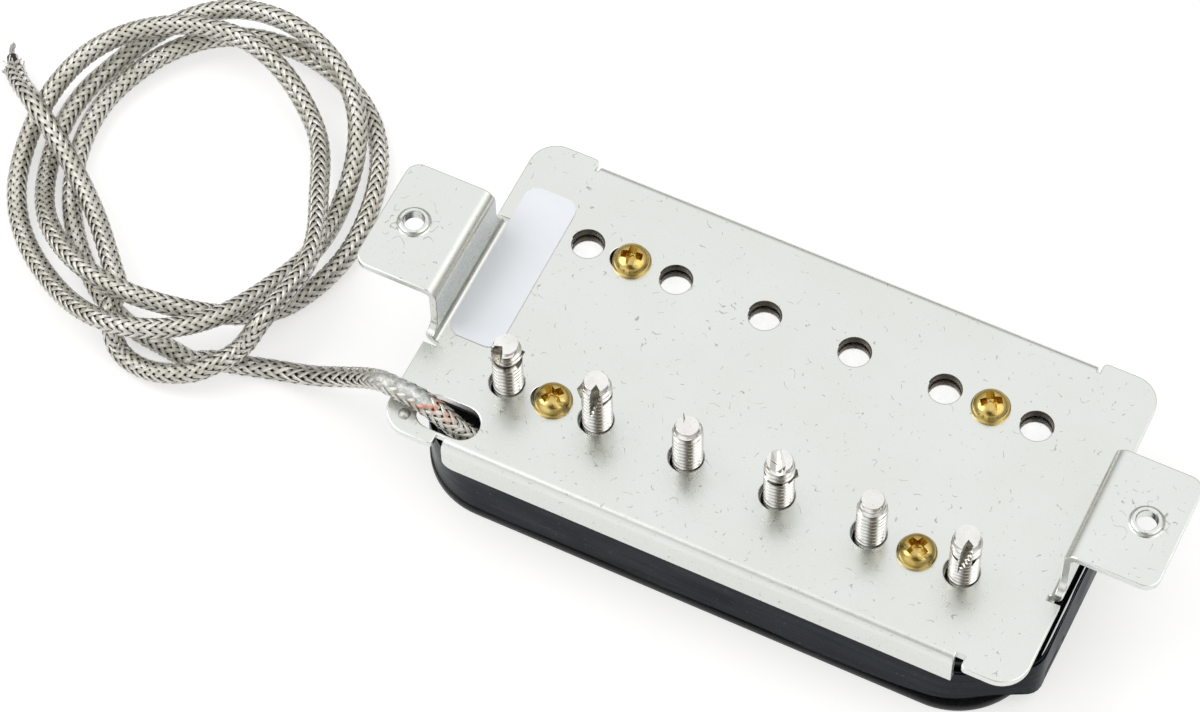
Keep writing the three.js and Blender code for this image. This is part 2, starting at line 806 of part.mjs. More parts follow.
// Two points that bring another tube up to an end squarely, a touch away from its face.
function approach(end, inside) {
  const away = end.clone().sub(inside).normalize();
  const near = end.clone().addScaledVector(away, touchGap);
  const far = near.clone().addScaledVector(away, cableRadius * 2);
  return [near.toArray(), far.toArray()];
}

// The least gap between the coil's turns, measured between points along its centre line.
function leastCoilGap(points) {
  const curve = new THREE.CatmullRomCurve3(points);
  const count = Math.round(curve.getLength() / gapStep);
  const samples = curve.getSpacedPoints(count);
  const apart = Math.round(gapReach / gapStep);
  let least = Infinity;
  for (let from = 0; from < count; from += 1) {
    for (let to = from + apart; to <= count; to += 1) {
      least = Math.min(least, samples[from].distanceTo(samples[to]));
    }
  }
  return least - cableRadius * 2;
}

// The assembly.
const pickup = new THREE.Group();

function add(name, geometry, finish, x = 0, y = 0, parent = pickup) {
  const mesh = new THREE.Mesh(geometry, finish);
  mesh.name = name;
  mesh.position.set(x, y, 0);
  parent.add(mesh);
}

const screwRow = new THREE.Group();
screwRow.position.set(0, -rowOffset, 0);
const slugRow = new THREE.Group();
slugRow.position.set(0, rowOffset, 0);
pickup.add(screwRow, slugRow);

add('baseplate', baseplate(), satinNickel());
add('screw_bobbin', screwBobbin(), blackPlastic(), 0, 0, screwRow);
add('slug_bobbin', slugBobbin(), blackPlastic(), 0, 0, slugRow);
for (const [name, row] of [['screw', screwRow], ['slug', slugRow]]) {
  add(`${name}_coil`, winding(), copper(), 0, 0, row);
  add(`${name}_coil_tape`, coilTape(), blackTape(), 0, 0, row);
}
add('outer_tape', outerTape(), blackTape());
add('bar_magnet', barMagnet(), magnetGrey());
add('keeper_bar', keeperBar(), greySteel());
add('spacer_bar', spacerBar(), mapleWood());
poleXs().forEach((x, index) => {
  add(`slug_${index + 1}`, slug(), dullSteel(), x, 0, slugRow);
  add(`pole_screw_${index + 1}`, poleScrew(), brightSteel(), x, 0, screwRow);
});
[[-1, slugRow], [1, slugRow], [-1, screwRow], [1, screwRow]].forEach(([side, row], index) => {
  add(`bobbin_screw_${index + 1}`, brassScrew(), brass(), side * brassOffset, 0, row);
});
add('paper_label', paperLabel(), whitePaper());
add('solder_drop', solderDrop(), solder());

// Leads inside.
add('cable_inner_run', sweep(innerRunRoute, cableRadius, cableSides, innerStep), silverBraid());
add('cable_inner_core', sweep(innerCoreRoute, coreCableRadius, leadSides, innerStep), blackInsulation());
add('lead_splice', sweep(spliceRoute, spliceRadius, cableSides, innerStep), blackInsulation());
add('hot_lead', sweep(hotLeadRoute, leadRadius, leadSides, innerStep), blackInsulation());
add('ground_lead', sweep(groundLeadRoute, leadRadius, leadSides, innerStep), whiteInsulation());
add('series_link', sweep(linkRoute, linkRadius, leadSides, innerStep), blackInsulation());

// The free cable.
const coilLine = coilPoints();
const [tailEnd, tailBefore] = approach(coilLine[0], coilLine[1]);
const [runStart, runNext] = approach(coilLine.at(-1), coilLine.at(-2));
const tailRoute = [...cableTailRoute, tailBefore, tailEnd];
const endRoute = [runStart, runNext, ...cableEndRoute];
add('cable_tail', sweep(tailRoute, cableRadius, cableSides, cableStep), silverBraid());
add('cable_coil', tubeThrough(coilLine, cableRadius, coilSides), silverBraid());
add('cable_end_run', sweep(endRoute, cableRadius, cableSides, cableStep), silverBraid());
add('cable_end_core', sweep(endCoreRoute, coreCableRadius, leadSides, innerStep), blackInsulation());
add('cable_end_conductor', sweep(endConductorRoute, conductorRadius, leadSides, endStep), tinnedWire());

console.log(`least gap between the turns of cable_coil: ${leastCoilGap(coilLine).toFixed(2)} mm`);

export default pickup;
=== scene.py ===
import math

import bmesh
import bpy
from mathutils import Matrix, Vector, noise


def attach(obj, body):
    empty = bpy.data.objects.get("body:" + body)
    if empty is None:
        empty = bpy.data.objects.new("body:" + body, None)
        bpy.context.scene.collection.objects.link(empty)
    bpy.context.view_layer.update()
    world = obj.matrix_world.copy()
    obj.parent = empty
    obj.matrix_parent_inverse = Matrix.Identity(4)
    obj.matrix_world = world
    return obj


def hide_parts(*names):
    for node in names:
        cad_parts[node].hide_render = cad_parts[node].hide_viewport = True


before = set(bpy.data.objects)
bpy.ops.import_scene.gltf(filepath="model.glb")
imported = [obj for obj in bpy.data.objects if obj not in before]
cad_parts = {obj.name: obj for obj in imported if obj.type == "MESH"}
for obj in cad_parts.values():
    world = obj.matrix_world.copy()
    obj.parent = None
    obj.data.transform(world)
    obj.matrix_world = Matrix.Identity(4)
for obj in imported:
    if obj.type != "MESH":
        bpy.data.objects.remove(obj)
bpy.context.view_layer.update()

# Sizes are in millimetres, as in the model, and every mesh is scaled to metres once it is made.
MM = 0.001
QUARTER = math.pi / 2
FULL = math.pi * 2

# Poles and rows
POLE_PITCH = 9.84
POLE_COUNT = 6
ROW_OFFSET = 8.98
ROW_HALF_SPAN = POLE_PITCH * (POLE_COUNT - 1) / 2
POLE_XS = [i * POLE_PITCH - ROW_HALF_SPAN for i in range(POLE_COUNT)]

# Baseplate
SHEET = 0.9
PLATE_TOP = 13.5
PLATE_UNDER = PLATE_TOP - SHEET
PLATE_HALF_LENGTH = 34.45
PLATE_HALF_WIDTH = 18.57
PLATE_CORNER = 3.0
RIM_ROUND = 0.12
SLUG_SIGHT_RADIUS = 1.65
SLUG_TOP = 12.4
SCREW_HOLE_RADIUS = 1.76
SCREW_HOLE_SLIP = 0.18
BRASS_HOLE_RADIUS = 1.3
BRASS_HOLE_SLIP = 1.0
SLOT_X = -28.2
SLOT_Y = -15.08
SLOT_HALF_STRAIGHT = 1.45
SLOT_RADIUS = 1.9
LIP_HALF_LENGTH = 27.5
LIP_NOTCH = 0.9
FAR_LIP_NOTCH = 0.35
EAR_CORNER = 0.5
LIP_BEND_Y = 17.3
LIP_BEND_Z = 12.5
LIP_BEND_RADIUS = 0.55
LIP_DROP = 3.2
LIP_CORNER = 1.2
LEG_BEND_X = 33.05
LEG_BEND_RADIUS = 0.95
LEG_RISE = 5.0
LEG_ROOT_HALF_WIDTH = 7.8
LEG_NOTCH = 0.5
LEG_ROOT_RISE = 0.2
LEG_FILLET = 1.25
FOOT_HALF_WIDTH = 6.55
FOOT_REACH = 7.95
FOOT_CORNER = 1.5
FOOT_TOP = 20.4
FOOT_HOLE_X = 39.35
FOOT_HOLE_RADIUS = 1.05
BEND_STEPS = 9
ROUND_SIDES = 48

# Bobbins and tape
FACE_FLANGE = 1.05
FACE_FLANGE_RADIUS = 8.4
BOTTOM_FLANGE = 1.1
BOTTOM_FLANGE_RADIUS = 7.7
BOBBIN_HEIGHT = 9.4
CORE_RADIUS = 3.2
FACE_HOLE_RADIUS = 2.65
TAPE_RADIUS = 8.22

# Brass screws
BRASS_X = 19.68

# Cable
CABLE_RADIUS = 1.1
CARRIERS = 8
CROSSING_STEP = 0.54
RIBBON_HALF_WIDTH = 0.2
RIBBON_THICKNESS = 0.1
OVER_RADIUS = 1.05
UNDER_RADIUS = 0.92
WIRES_IN_BUNDLE = 5
SHEATH_RADIUS = 0.8
COPPER_SHOWS = (-29.6, -15.2, 15.2)

TAIL_ROUTE = [
    (-26.9, -15.5, 12.75), (-27.85, -15.42, 13.3), (-29, -15.28, 13.85), (-30.4, -15.13, 14.4),
    (-31.9, -15, 14.75), (-33.4, -15, 14.85), (-35.3, -14.7, 14.55), (-37.4, -14, 12.6), (-40.2, -13.1, 9.4),
    (-43, -12.3, 6.2), (-45.8, -11.7, 3.4), (-48.5, -11.5, 1.7), (-51.2, -11.9, 1.15),
    (-54.4, -12.8, 1.12), (-57.6, -13.7, 1.12),
]
END_ROUTE = [
    (-53.9, -12.5, 4.0), (-55.2, -14.5, 3.7), (-57.1, -16.3, 3.0), (-59.6, -17.3, 2.4),
    (-62.2, -17.5, 1.5), (-64.8, -17.1, 1.15), (-66.4, -16.4, 1.5), (-67.3, -15.5, 2.9),
    (-68.6, -13.5, 3.8), (-68.4, -11.8, 3.9), (-70.5, -9.4, 3.9), (-75.6, -4.1, 3.4),
    (-81.3, 0.4, 4.0), (-87.1, 4.0, 5.3), (-91.4, 7.3, 2.9), (-93.1, 9.1, 1.6),
]
INNER_ROUTE = [
    (-14, -15, 11), (-19, -15, 11), (-22.9, -15.1, 11.05), (-25.1, -15.32, 11.75), (-27.35, -15.5, 13.02),
]
END_CORE_ROUTE = [(-92.6, 8.5, 1.7), (-93.35, 9.4, 1.5), (-94.1, 10.4, 1.3)]
END_CONDUCTOR_ROUTE = [(-93.7, 9.8, 1.4), (-94.2, 10.5, 1.28), (-94.7, 11.3, 1.1), (-95.0, 12.3, 0.95)]

COIL_CENTRE = (-67.9, 4.0)
COIL_START = -75 / 360
STATIONS_PER_LOOP = 8
STEPS_PER_STATION = 8
COIL_REACH = [
    18.6, 14.2, 13.5, 15.9, 19.1, 20.2, 18.1, 17.1,
    16.9, 16.2, 16.3, 18.7, 21.4, 19.1, 14.9, 15.8,
    20.8, 18.8, 19.4, 19.8, 17.5, 14.2, 13.1, 18.3,
]
COIL_LIFT = [
    0, 0, 0.1, 0.6, 1.5, 0.1, 0.2, 0,
    5.2, 4.2, 0.2, 0, 3.4, 3.1, 0.1, 3.2,
    6.3, 1.6, 0, 3.4, 4.2, 1.6, 3.1, 5.1,
]


# Camera, floor and lights

CAMERA_PLACE = (87.156, -205.024, 400.782)
CAMERA_ELEVATION = math.radians(59.38)
CAMERA_AZIMUTH = math.radians(27.16)
CAMERA_ROLL = math.radians(-1.45)
CAMERA_LENS = 135.49
SENSOR_WIDTH = 36.0
SHIFT_X = -0.0065
SHIFT_Y = -0.0072


def place_camera():
    azimuth, elevation, roll = CAMERA_AZIMUTH, CAMERA_ELEVATION, CAMERA_ROLL
    back = Vector((
        math.sin(azimuth) * math.cos(elevation),
        -math.cos(azimuth) * math.cos(elevation),
        math.sin(elevation),
    ))
    level = Vector((math.cos(azimuth), math.sin(azimuth), 0))
    upright = back.cross(level)
    right = math.cos(roll) * level + math.sin(roll) * upright
    up = -math.sin(roll) * level + math.cos(roll) * upright
    lens = bpy.data.cameras.new("camera")
    lens.lens = CAMERA_LENS
    lens.sensor_width = SENSOR_WIDTH
    lens.shift_x = SHIFT_X
    lens.shift_y = SHIFT_Y
    camera = bpy.data.objects.new("camera", lens)
    turn = Matrix((right, up, back)).transposed().to_4x4()
    camera.matrix_world = Matrix.Translation(Vector(CAMERA_PLACE) * MM) @ turn
    bpy.context.scene.collection.objects.link(camera)
    bpy.context.scene.camera = camera


def lay_floor():
    bm = bmesh.new()
    bmesh.ops.create_grid(bm, x_segments=1, y_segments=1, size=1.5)
    mesh = bpy.data.meshes.new("floor")
    bm.to_mesh(mesh)
    bm.free()
    floor = bpy.data.objects.new("floor", mesh)
    bpy.context.scene.collection.objects.link(floor)
    mesh.materials.append(floor_paint())


def add_area_light(name, place, aim, size, power, colour):
    light = bpy.data.lights.new(name, "AREA")
    light.shape = "DISK"
    light.size = size
    light.energy = power
    light.color = colour
    lamp = bpy.data.objects.new(name, light)
    toward = Vector(aim) - Vector(place)
    lamp.matrix_world = Matrix.Translation(place) @ toward.to_track_quat("-Z", "Y").to_matrix().to_4x4()
    bpy.context.scene.collection.objects.link(lamp)


def toward(azimuth, elevation):
    """The direction of a place in the room, from the object. Azimuth is measured from the camera's side."""
    turn, rise = CAMERA_AZIMUTH + math.radians(azimuth), math.radians(elevation)
    return math.sin(turn) * math.cos(rise), -math.cos(turn) * math.cos(rise), math.sin(rise)


ROOM_PALE = (1.0, 1.0, 1.0)
ROOM_LOW_DOWN = (0.17, 0.145, 0.10)
ROOM_BEHIND_CAMERA = (0.12, 0.10, 0.07)


def light_the_room():
    """A pale room, brownish and dim behind the camera and low down, except toward a window."""
    world = bpy.data.worlds.new("studio")
    world.use_nodes = True
    nodes, links = world.node_tree.nodes, world.node_tree.links
    background = nodes["Background"]
    ray = nodes.new("ShaderNodeTexCoord").outputs["Generated"]
    height = nodes.new("ShaderNodeSeparateXYZ")
    links.new(ray, height.inputs["Vector"])
    high = range_node(nodes, links, height.outputs["Z"], 0.0, 0.76)
    patches = []
    for direction, start, full in ((toward(0, 57), 0.86, 0.965), (toward(-45, 16), 0.72, 0.93)):
        near = nodes.new("ShaderNodeVectorMath")
        near.operation = "DOT_PRODUCT"
        near.inputs[1].default_value = direction
        links.new(ray, near.inputs[0])
        patches.append(range_node(nodes, links, near.outputs["Value"], start, full))
    behind, window = patches
    high = math_node(nodes, links, "MAXIMUM", high, window)
    room = mix_node(nodes, links, high, ROOM_LOW_DOWN, ROOM_PALE)
    room = mix_node(nodes, links, behind, room, ROOM_BEHIND_CAMERA)
    links.new(room, background.inputs["Color"])
    background.inputs["Strength"].default_value = 1.12
    bpy.context.scene.world = world
    bpy.context.scene.view_settings.view_transform = "Standard"
    add_area_light("key", (-0.45, -0.12, 0.58), (0, 0, 0), 0.5, 1.4, (1.0, 0.99, 0.97))
    add_area_light("fill", (0.38, 0.02, 0.6), (0, 0, 0), 0.75, 1.1, (1.0, 0.98, 0.94))


# Shared shader parts

def new_group(name, inputs, outputs):
    group = bpy.data.node_groups.new(name, "ShaderNodeTree")
    for label, kind, value in inputs:
        socket = group.interface.new_socket(name=label, in_out="INPUT", socket_type=kind)
        socket.default_value = value
    for label, kind in outputs:
        group.interface.new_socket(name=label, in_out="OUTPUT", socket_type=kind)
    return group, group.nodes.new("NodeGroupInput"), group.nodes.new("NodeGroupOutput")


def math_node(nodes, links, operation, first, second=None):
    node = nodes.new("ShaderNodeMath")
    node.operation = operation
    for index, value in enumerate((first, second)):
        if value is None:
            continue
        if isinstance(value, (int, float)):
            node.inputs[index].default_value = value
        else:
            links.new(value, node.inputs[index])
    return node.outputs["Value"]


def noise_node(nodes, links, vector, scale, detail=3.0, rough=0.55):
    node = nodes.new("ShaderNodeTexNoise")
    node.inputs["Detail"].default_value = detail
    node.inputs["Roughness"].default_value = rough
    if isinstance(scale, (int, float)):
        node.inputs["Scale"].default_value = scale
    else:
        links.new(scale, node.inputs["Scale"])
    links.new(vector, node.inputs["Vector"])
    return node.outputs["Fac"]


def range_node(nodes, links, value, low, high, to_low=0.0, to_high=1.0):
    node = nodes.new("ShaderNodeMapRange")
    node.inputs["From Min"].default_value = low
    node.inputs["From Max"].default_value = high
    node.inputs["To Min"].default_value = to_low
    node.inputs["To Max"].default_value = to_high
    links.new(value, node.inputs["Value"])
    return node.outputs["Result"]


def mix_node(nodes, links, share, first, second):
    node = nodes.new("ShaderNodeMix")
    node.data_type = "RGBA"
    for index, value in ((6, first), (7, second)):
        if isinstance(value, tuple):
            node.inputs[index].default_value = (*value, 1)
        else:
            links.new(value, node.inputs[index])
    links.new(share, node.inputs[0])
    return node.outputs[2]


def make_hairlines():
    """Short curved hairlines, scattered: a mask that is Amount on a line, and a height that is as far below 0.
    A low Rarity gives more of them."""
    group, given, result = new_group(
        "hairlines",
        [("Vector", "NodeSocketVector", (0, 0, 0)), ("Scale", "NodeSocketFloat", 520.0),
         ("Amount", "NodeSocketFloat", 0.5), ("Rarity", "NodeSocketFloat", 0.6)],
        [("Height", "NodeSocketFloat"), ("Mask", "NodeSocketFloat")],
    )
    nodes, links = group.nodes, group.links
    curve = noise_node(nodes, links, given.outputs["Vector"], given.outputs["Scale"], 1.0, 0.4)
    off = math_node(nodes, links, "ABSOLUTE", math_node(nodes, links, "SUBTRACT", curve, 0.5))
    line = range_node(nodes, links, off, 0.004, 0.013, 1.0, 0.0)
    finer = math_node(nodes, links, "MULTIPLY", given.outputs["Scale"], 2.3)
    spread = noise_node(nodes, links, given.outputs["Vector"], finer, 1.0, 0.5)
    above = math_node(nodes, links, "SUBTRACT", spread, given.outputs["Rarity"])
    total = math_node(nodes, links, "MULTIPLY", line, range_node(nodes, links, above, 0.0, 0.05))
    total = math_node(nodes, links, "MULTIPLY", total, given.outputs["Amount"])
    links.new(total, result.inputs["Mask"])
    links.new(math_node(nodes, links, "MULTIPLY", total, -1.0), result.inputs["Height"])
    return group


def make_smudges():
    """Soft cloudy patches from 0 to 1, as from handling."""
    group, given, result = new_group(
        "soft_smudges",
        [("Vector", "NodeSocketVector", (0, 0, 0)), ("Scale", "NodeSocketFloat", 120.0)],
        [("Cloud", "NodeSocketFloat"), ("Speckle", "NodeSocketFloat")],
    )
    nodes, links = group.nodes, group.links
    cloud = noise_node(nodes, links, given.outputs["Vector"], given.outputs["Scale"], 4.0, 0.6)
    links.new(range_node(nodes, links, cloud, 0.3, 0.7), result.inputs["Cloud"])
    finer = math_node(nodes, links, "MULTIPLY", given.outputs["Scale"], 14.0)
    speckle = noise_node(nodes, links, given.outputs["Vector"], finer, 2.0, 0.7)
    links.new(range_node(nodes, links, speckle, 0.35, 0.75), result.inputs["Speckle"])
    return group


HAIRLINES = make_hairlines()
SMUDGES = make_smudges()


class Finish:
    """One material under way: its nodes, its links and its shader."""

    def __init__(self, name, colour, rough, metal=0.0, **sockets):
        self.material = bpy.data.materials.new(name)
        self.material.use_nodes = True
        self.nodes = self.material.node_tree.nodes
        self.links = self.material.node_tree.links
        self.shader = self.nodes["Principled BSDF"]
        self.set("Base Color", (*colour, 1))
        self.set("Roughness", rough)
        self.set("Metallic", metal)
        for socket, value in sockets.items():
            self.set(socket.replace("_", " "), value)
        self.place = self.nodes.new("ShaderNodeTexCoord").outputs["Object"]

    def set(self, socket, value):
        self.shader.inputs[socket].default_value = value

    def feed(self, socket, output):
        self.links.new(output, self.shader.inputs[socket])

    def group(self, tree, **values):
        node = self.nodes.new("ShaderNodeGroup")
        node.node_tree = tree
        self.links.new(self.place, node.inputs["Vector"])
        for label, value in values.items():
            node.inputs[label].default_value = value
        return node

    def mix(self, share, first, second):
        return mix_node(self.nodes, self.links, share, first, second)

    def math(self, operation, first, second=None):
        return math_node(self.nodes, self.links, operation, first, second)

    def range(self, value, low, high, to_low=0.0, to_high=1.0):
        return range_node(self.nodes, self.links, value, low, high, to_low, to_high)

    def noise(self, scale, detail=3.0, rough=0.55, vector=None):
        return noise_node(self.nodes, self.links, vector or self.place, scale, detail, rough)

    def stretched(self, scale):
        node = self.nodes.new("ShaderNodeMapping")
        node.inputs["Scale"].default_value = scale
        self.links.new(self.place, node.inputs["Vector"])
        return node.outputs["Vector"]

    def along(self):
        """The two values of the piece's "along" UV map."""
        uv = self.nodes.new("ShaderNodeUVMap")
        uv.uv_map = "along"
        split = self.nodes.new("ShaderNodeSeparateXYZ")
        self.links.new(uv.outputs["UV"], split.inputs["Vector"])
        return split.outputs["X"], split.outputs["Y"]

    def bump(self, height, strength, distance):
        node = self.nodes.new("ShaderNodeBump")
        node.inputs["Strength"].default_value = strength
        node.inputs["Distance"].default_value = distance
        self.links.new(height, node.inputs["Height"])
        self.feed("Normal", node.outputs["Normal"])


# Finishes

def floor_paint():
    """White paper, lit from below as well, so that shadows on it stay faint."""
    finish = Finish("floor_white", (0.5, 0.5, 0.5), 0.9, Specular_IOR_Level=0.2,
                    Emission_Color=(1, 1, 1, 1), Emission_Strength=0.58)
    grain = finish.noise(60.0)
    finish.feed("Base Color", finish.mix(grain, (0.49, 0.49, 0.49), (0.51, 0.51, 0.51)))
    return finish.material


def satin_nickel():
    """Even pale plating with scattered hairlines, which gather round the collars of the feet."""
    finish = Finish("satin_nickel", (0.68, 0.70, 0.67), 0.3, 1.0)
    folded = finish.nodes.new("ShaderNodeVectorMath")
    folded.operation = "ABSOLUTE"
    finish.links.new(finish.place, folded.inputs[0])
    centred = finish.nodes.new("ShaderNodeMapping")
    centred.inputs["Location"].default_value = (-FOOT_HOLE_X * MM, 0, 0)
    centred.inputs["Scale"].default_value = (1, 1, 0)
    finish.links.new(folded.outputs["Vector"], centred.inputs["Vector"])
    far = finish.nodes.new("ShaderNodeVectorMath")
    far.operation = "LENGTH"
    finish.links.new(centred.outputs["Vector"], far.inputs[0])
    rarity = finish.range(far.outputs["Value"], 0.0022, 0.004, 0.4, 0.6)
    marks = finish.group(HAIRLINES, Scale=620.0, Amount=0.66)
    finish.links.new(rarity, marks.inputs["Rarity"])
    specks = finish.group(HAIRLINES, Scale=1500.0, Amount=0.4, Rarity=0.67)
    smudge = finish.group(SMUDGES, Scale=70.0)
    tone = finish.mix(smudge.outputs["Cloud"], (0.705, 0.725, 0.70), (0.68, 0.695, 0.665))
    tone = finish.mix(specks.outputs["Mask"], tone, (0.3, 0.29, 0.26))
    finish.feed("Base Color", finish.mix(marks.outputs["Mask"], tone, (0.26, 0.26, 0.24)))
    finish.feed("Roughness", finish.range(smudge.outputs["Speckle"], 0, 1, 0.26, 0.34))
    finish.bump(marks.outputs["Height"], 0.12, 0.00002)
    return finish.material


def screw_steel():
    finish = Finish("bright_steel", (0.75, 0.75, 0.74), 0.22, 1.0)
    marks = finish.group(HAIRLINES, Scale=1600.0, Amount=0.6, Rarity=0.6)
    smudge = finish.group(SMUDGES, Scale=500.0)
    tone = finish.mix(smudge.outputs["Cloud"], (0.84, 0.84, 0.82), (0.72, 0.71, 0.68))
    tone = finish.mix(marks.outputs["Mask"], tone, (0.25, 0.22, 0.18))
    # The thread's roots and the grooves near the tip are painted dark, as painted shade in them.
    depth, _ = finish.along()
    painted_root_shade = finish.range(depth, 0.3, 0.95, 0.0, 0.96)
    finish.feed("Base Color", finish.mix(painted_root_shade, tone, (0.03, 0.025, 0.02)))
    finish.feed("Roughness", finish.range(smudge.outputs["Speckle"], 0, 1, 0.14, 0.26))
    finish.bump(marks.outputs["Height"], 0.4, 0.00002)
    return finish.material


def broken_steel():
    """The rough faces where a pole's end was clipped."""
    finish = Finish("clipped_steel", (0.5, 0.47, 0.42), 0.4, 1.0)
    smudge = finish.group(SMUDGES, Scale=1100.0)
    finish.feed("Base Color", finish.mix(smudge.outputs["Cloud"], (0.46, 0.43, 0.36), (0.05, 0.04, 0.03)))
    finish.feed("Roughness", finish.range(smudge.outputs["Speckle"], 0, 1, 0.22, 0.5))
    finish.bump(smudge.outputs["Cloud"], 0.8, 0.00012)
    return finish.material


def slug_steel():
    finish = Finish("dull_steel", (0.86, 0.86, 0.85), 0.14, 1.0)
    marks = finish.group(HAIRLINES, Scale=1500.0, Amount=0.4, Rarity=0.64)
    smudge = finish.group(SMUDGES, Scale=400.0)
    tone = finish.mix(smudge.outputs["Cloud"], (0.90, 0.90, 0.89), (0.80, 0.80, 0.78))
    finish.feed("Base Color", finish.mix(marks.outputs["Mask"], tone, (0.3, 0.3, 0.29)))
    finish.feed("Roughness", finish.range(smudge.outputs["Speckle"], 0, 1, 0.08, 0.18))
    finish.bump(marks.outputs["Height"], 0.3, 0.00003)
    return finish.material


def gold_brass():
    finish = Finish("brass", (0.72, 0.5, 0.17), 0.2, 1.0)
    marks = finish.group(HAIRLINES, Scale=1500.0, Amount=0.4, Rarity=0.56)
    smudge = finish.group(SMUDGES, Scale=600.0)
    tone = finish.mix(smudge.outputs["Cloud"], (0.72, 0.56, 0.22), (0.50, 0.36, 0.10))
    finish.feed("Base Color", finish.mix(marks.outputs["Mask"], tone, (0.22, 0.13, 0.03)))
    finish.feed("Roughness", finish.range(smudge.outputs["Speckle"], 0, 1, 0.12, 0.26))
    finish.bump(marks.outputs["Height"], 0.4, 0.00002)
    return finish.material


def moulded_black():
    finish = Finish("black_plastic", (0.014, 0.014, 0.015), 0.32, Specular_IOR_Level=0.2)
    smudge = finish.group(SMUDGES, Scale=160.0)
    marks = finish.group(HAIRLINES, Scale=900.0, Amount=0.4, Rarity=0.56)
    finish.feed("Base Color", finish.mix(marks.outputs["Mask"], (0.009, 0.009, 0.010), (0.05, 0.05, 0.052)))
    finish.feed("Roughness", finish.range(smudge.outputs["Speckle"], 0, 1, 0.26, 0.42))
    finish.bump(smudge.outputs["Speckle"], 0.08, 0.00003)
    return finish.material


def plain(name, light, dark, rough, metal, scale, bump):
    """A finish of two close tones in clouds, with a fine grain."""
    finish = Finish(name, light, rough, metal)
    smudge = finish.group(SMUDGES, Scale=scale)
    finish.feed("Base Color", finish.mix(smudge.outputs["Cloud"], light, dark))
    finish.feed("Roughness", finish.range(smudge.outputs["Speckle"], 0, 1, rough - 0.06, rough + 0.1))
    finish.bump(smudge.outputs["Speckle"], 0.3, bump)
    return finish.material


def copper_wire():
    finish = Finish("copper_wire", (0.42, 0.13, 0.05), 0.3, 0.9)
    turns = finish.noise(40.0, 2.0, 0.5, finish.stretched((0.4, 0.4, 260.0)))
    finish.feed("Base Color", finish.mix(turns, (0.30, 0.08, 0.03), (0.55, 0.2, 0.08)))
    finish.bump(turns, 0.6, 0.00004)
    return finish.material


def shiny_tape():
    finish = Finish("black_tape", (0.012, 0.014, 0.018), 0.3, 0.0, Specular_IOR_Level=0.05)
    crease_and_sheen = finish.noise(140.0, 4.0, 0.6, finish.stretched((0.3, 0.3, 4.0)))
    smudge = finish.group(SMUDGES, Scale=90.0)
    dust = finish.group(HAIRLINES, Scale=1100.0, Amount=0.5, Rarity=0.6)
    # The streaks are creases in the bump, and in the colour a lighter bluish painted sheen on the black tape.
    tone = finish.mix(finish.range(crease_and_sheen, 0.35, 0.7), (0.003, 0.005, 0.007), (0.013, 0.020, 0.028))
    finish.feed("Base Color", finish.mix(dust.outputs["Mask"], tone, (0.10, 0.11, 0.13)))
    finish.feed("Roughness", finish.range(smudge.outputs["Cloud"], 0, 1, 0.2, 0.42))
    finish.bump(crease_and_sheen, 0.45, 0.00012)
    return finish.material


def bare_paper():
    finish = Finish("white_paper", (0.70, 0.73, 0.78), 0.75, Specular_IOR_Level=0.3)
    fibre = finish.noise(2600.0, 5.0, 0.7)
    smudge = finish.group(SMUDGES, Scale=160.0)
    finish.feed("Base Color", finish.mix(smudge.outputs["Cloud"], (0.77, 0.80, 0.85), (0.74, 0.775, 0.825)))
    finish.bump(fibre, 0.25, 0.00003)
    return finish.material


def braid_wire():
    """Bundles of tinned wires. The piece's UV map has the place across a bundle, and a count along it that
    repeats by fours: a bundle is on top of the others at a half, and below them two later. A bundle is painted
    darker where it goes under the others, at its edges and between its wires, as painted shade."""
    finish = Finish("silver_braid", (0.72, 0.71, 0.66), 0.26, 1.0)
    across, count = finish.along()
    wires = finish.math("MULTIPLY", across, WIRES_IN_BUNDLE * FULL)
    ridge = finish.range(finish.math("COSINE", wires), -1, 1)
    # Painted shade: darker where a bundle passes under the others, at its edges and in the grooves between its
    # wires.
    turn = finish.math("MULTIPLY", finish.math("SUBTRACT", count, 0.5), FULL / 4)
    over_under_shade = finish.range(finish.math("COSINE", turn), -0.7, 0.8, 0.72, 1.0)
    off_middle = finish.math("ABSOLUTE", finish.math("SUBTRACT", across, 0.5))
    edge_shade = finish.range(off_middle, 0.4, 0.5, 1.0, 0.75)
    shade = finish.math("MULTIPLY", finish.math("MULTIPLY", over_under_shade, edge_shade),
                        finish.range(ridge, 0, 1, 0.66, 1.0))
    stain = finish.noise(260.0, 4.0, 0.65)
    tone = finish.mix(finish.range(stain, 0.35, 0.7), (0.93, 0.92, 0.86), (0.70, 0.67, 0.58))
    bare = finish.noise(700.0, 2.0, 0.5)
    at_exit = finish.nodes.new("ShaderNodeVectorMath")
    at_exit.operation = "DISTANCE"
    at_exit.inputs[1].default_value = [v * MM for v in COPPER_SHOWS]
    finish.links.new(finish.place, at_exit.inputs[0])
    close = finish.range(at_exit.outputs["Value"], 0.0012, 0.003, 1.0, 0.0)
    copper = finish.math("MULTIPLY", close, finish.range(bare, 0.5, 0.6))
    tone = finish.mix(copper, tone, (0.86, 0.42, 0.30))
    finish.feed("Base Color", finish.mix(shade, (0.02, 0.019, 0.017), tone))
    finish.feed("Roughness", finish.range(stain, 0.3, 0.7, 0.22, 0.4))
    finish.bump(ridge, 0.5, 0.00003)
    return finish.material


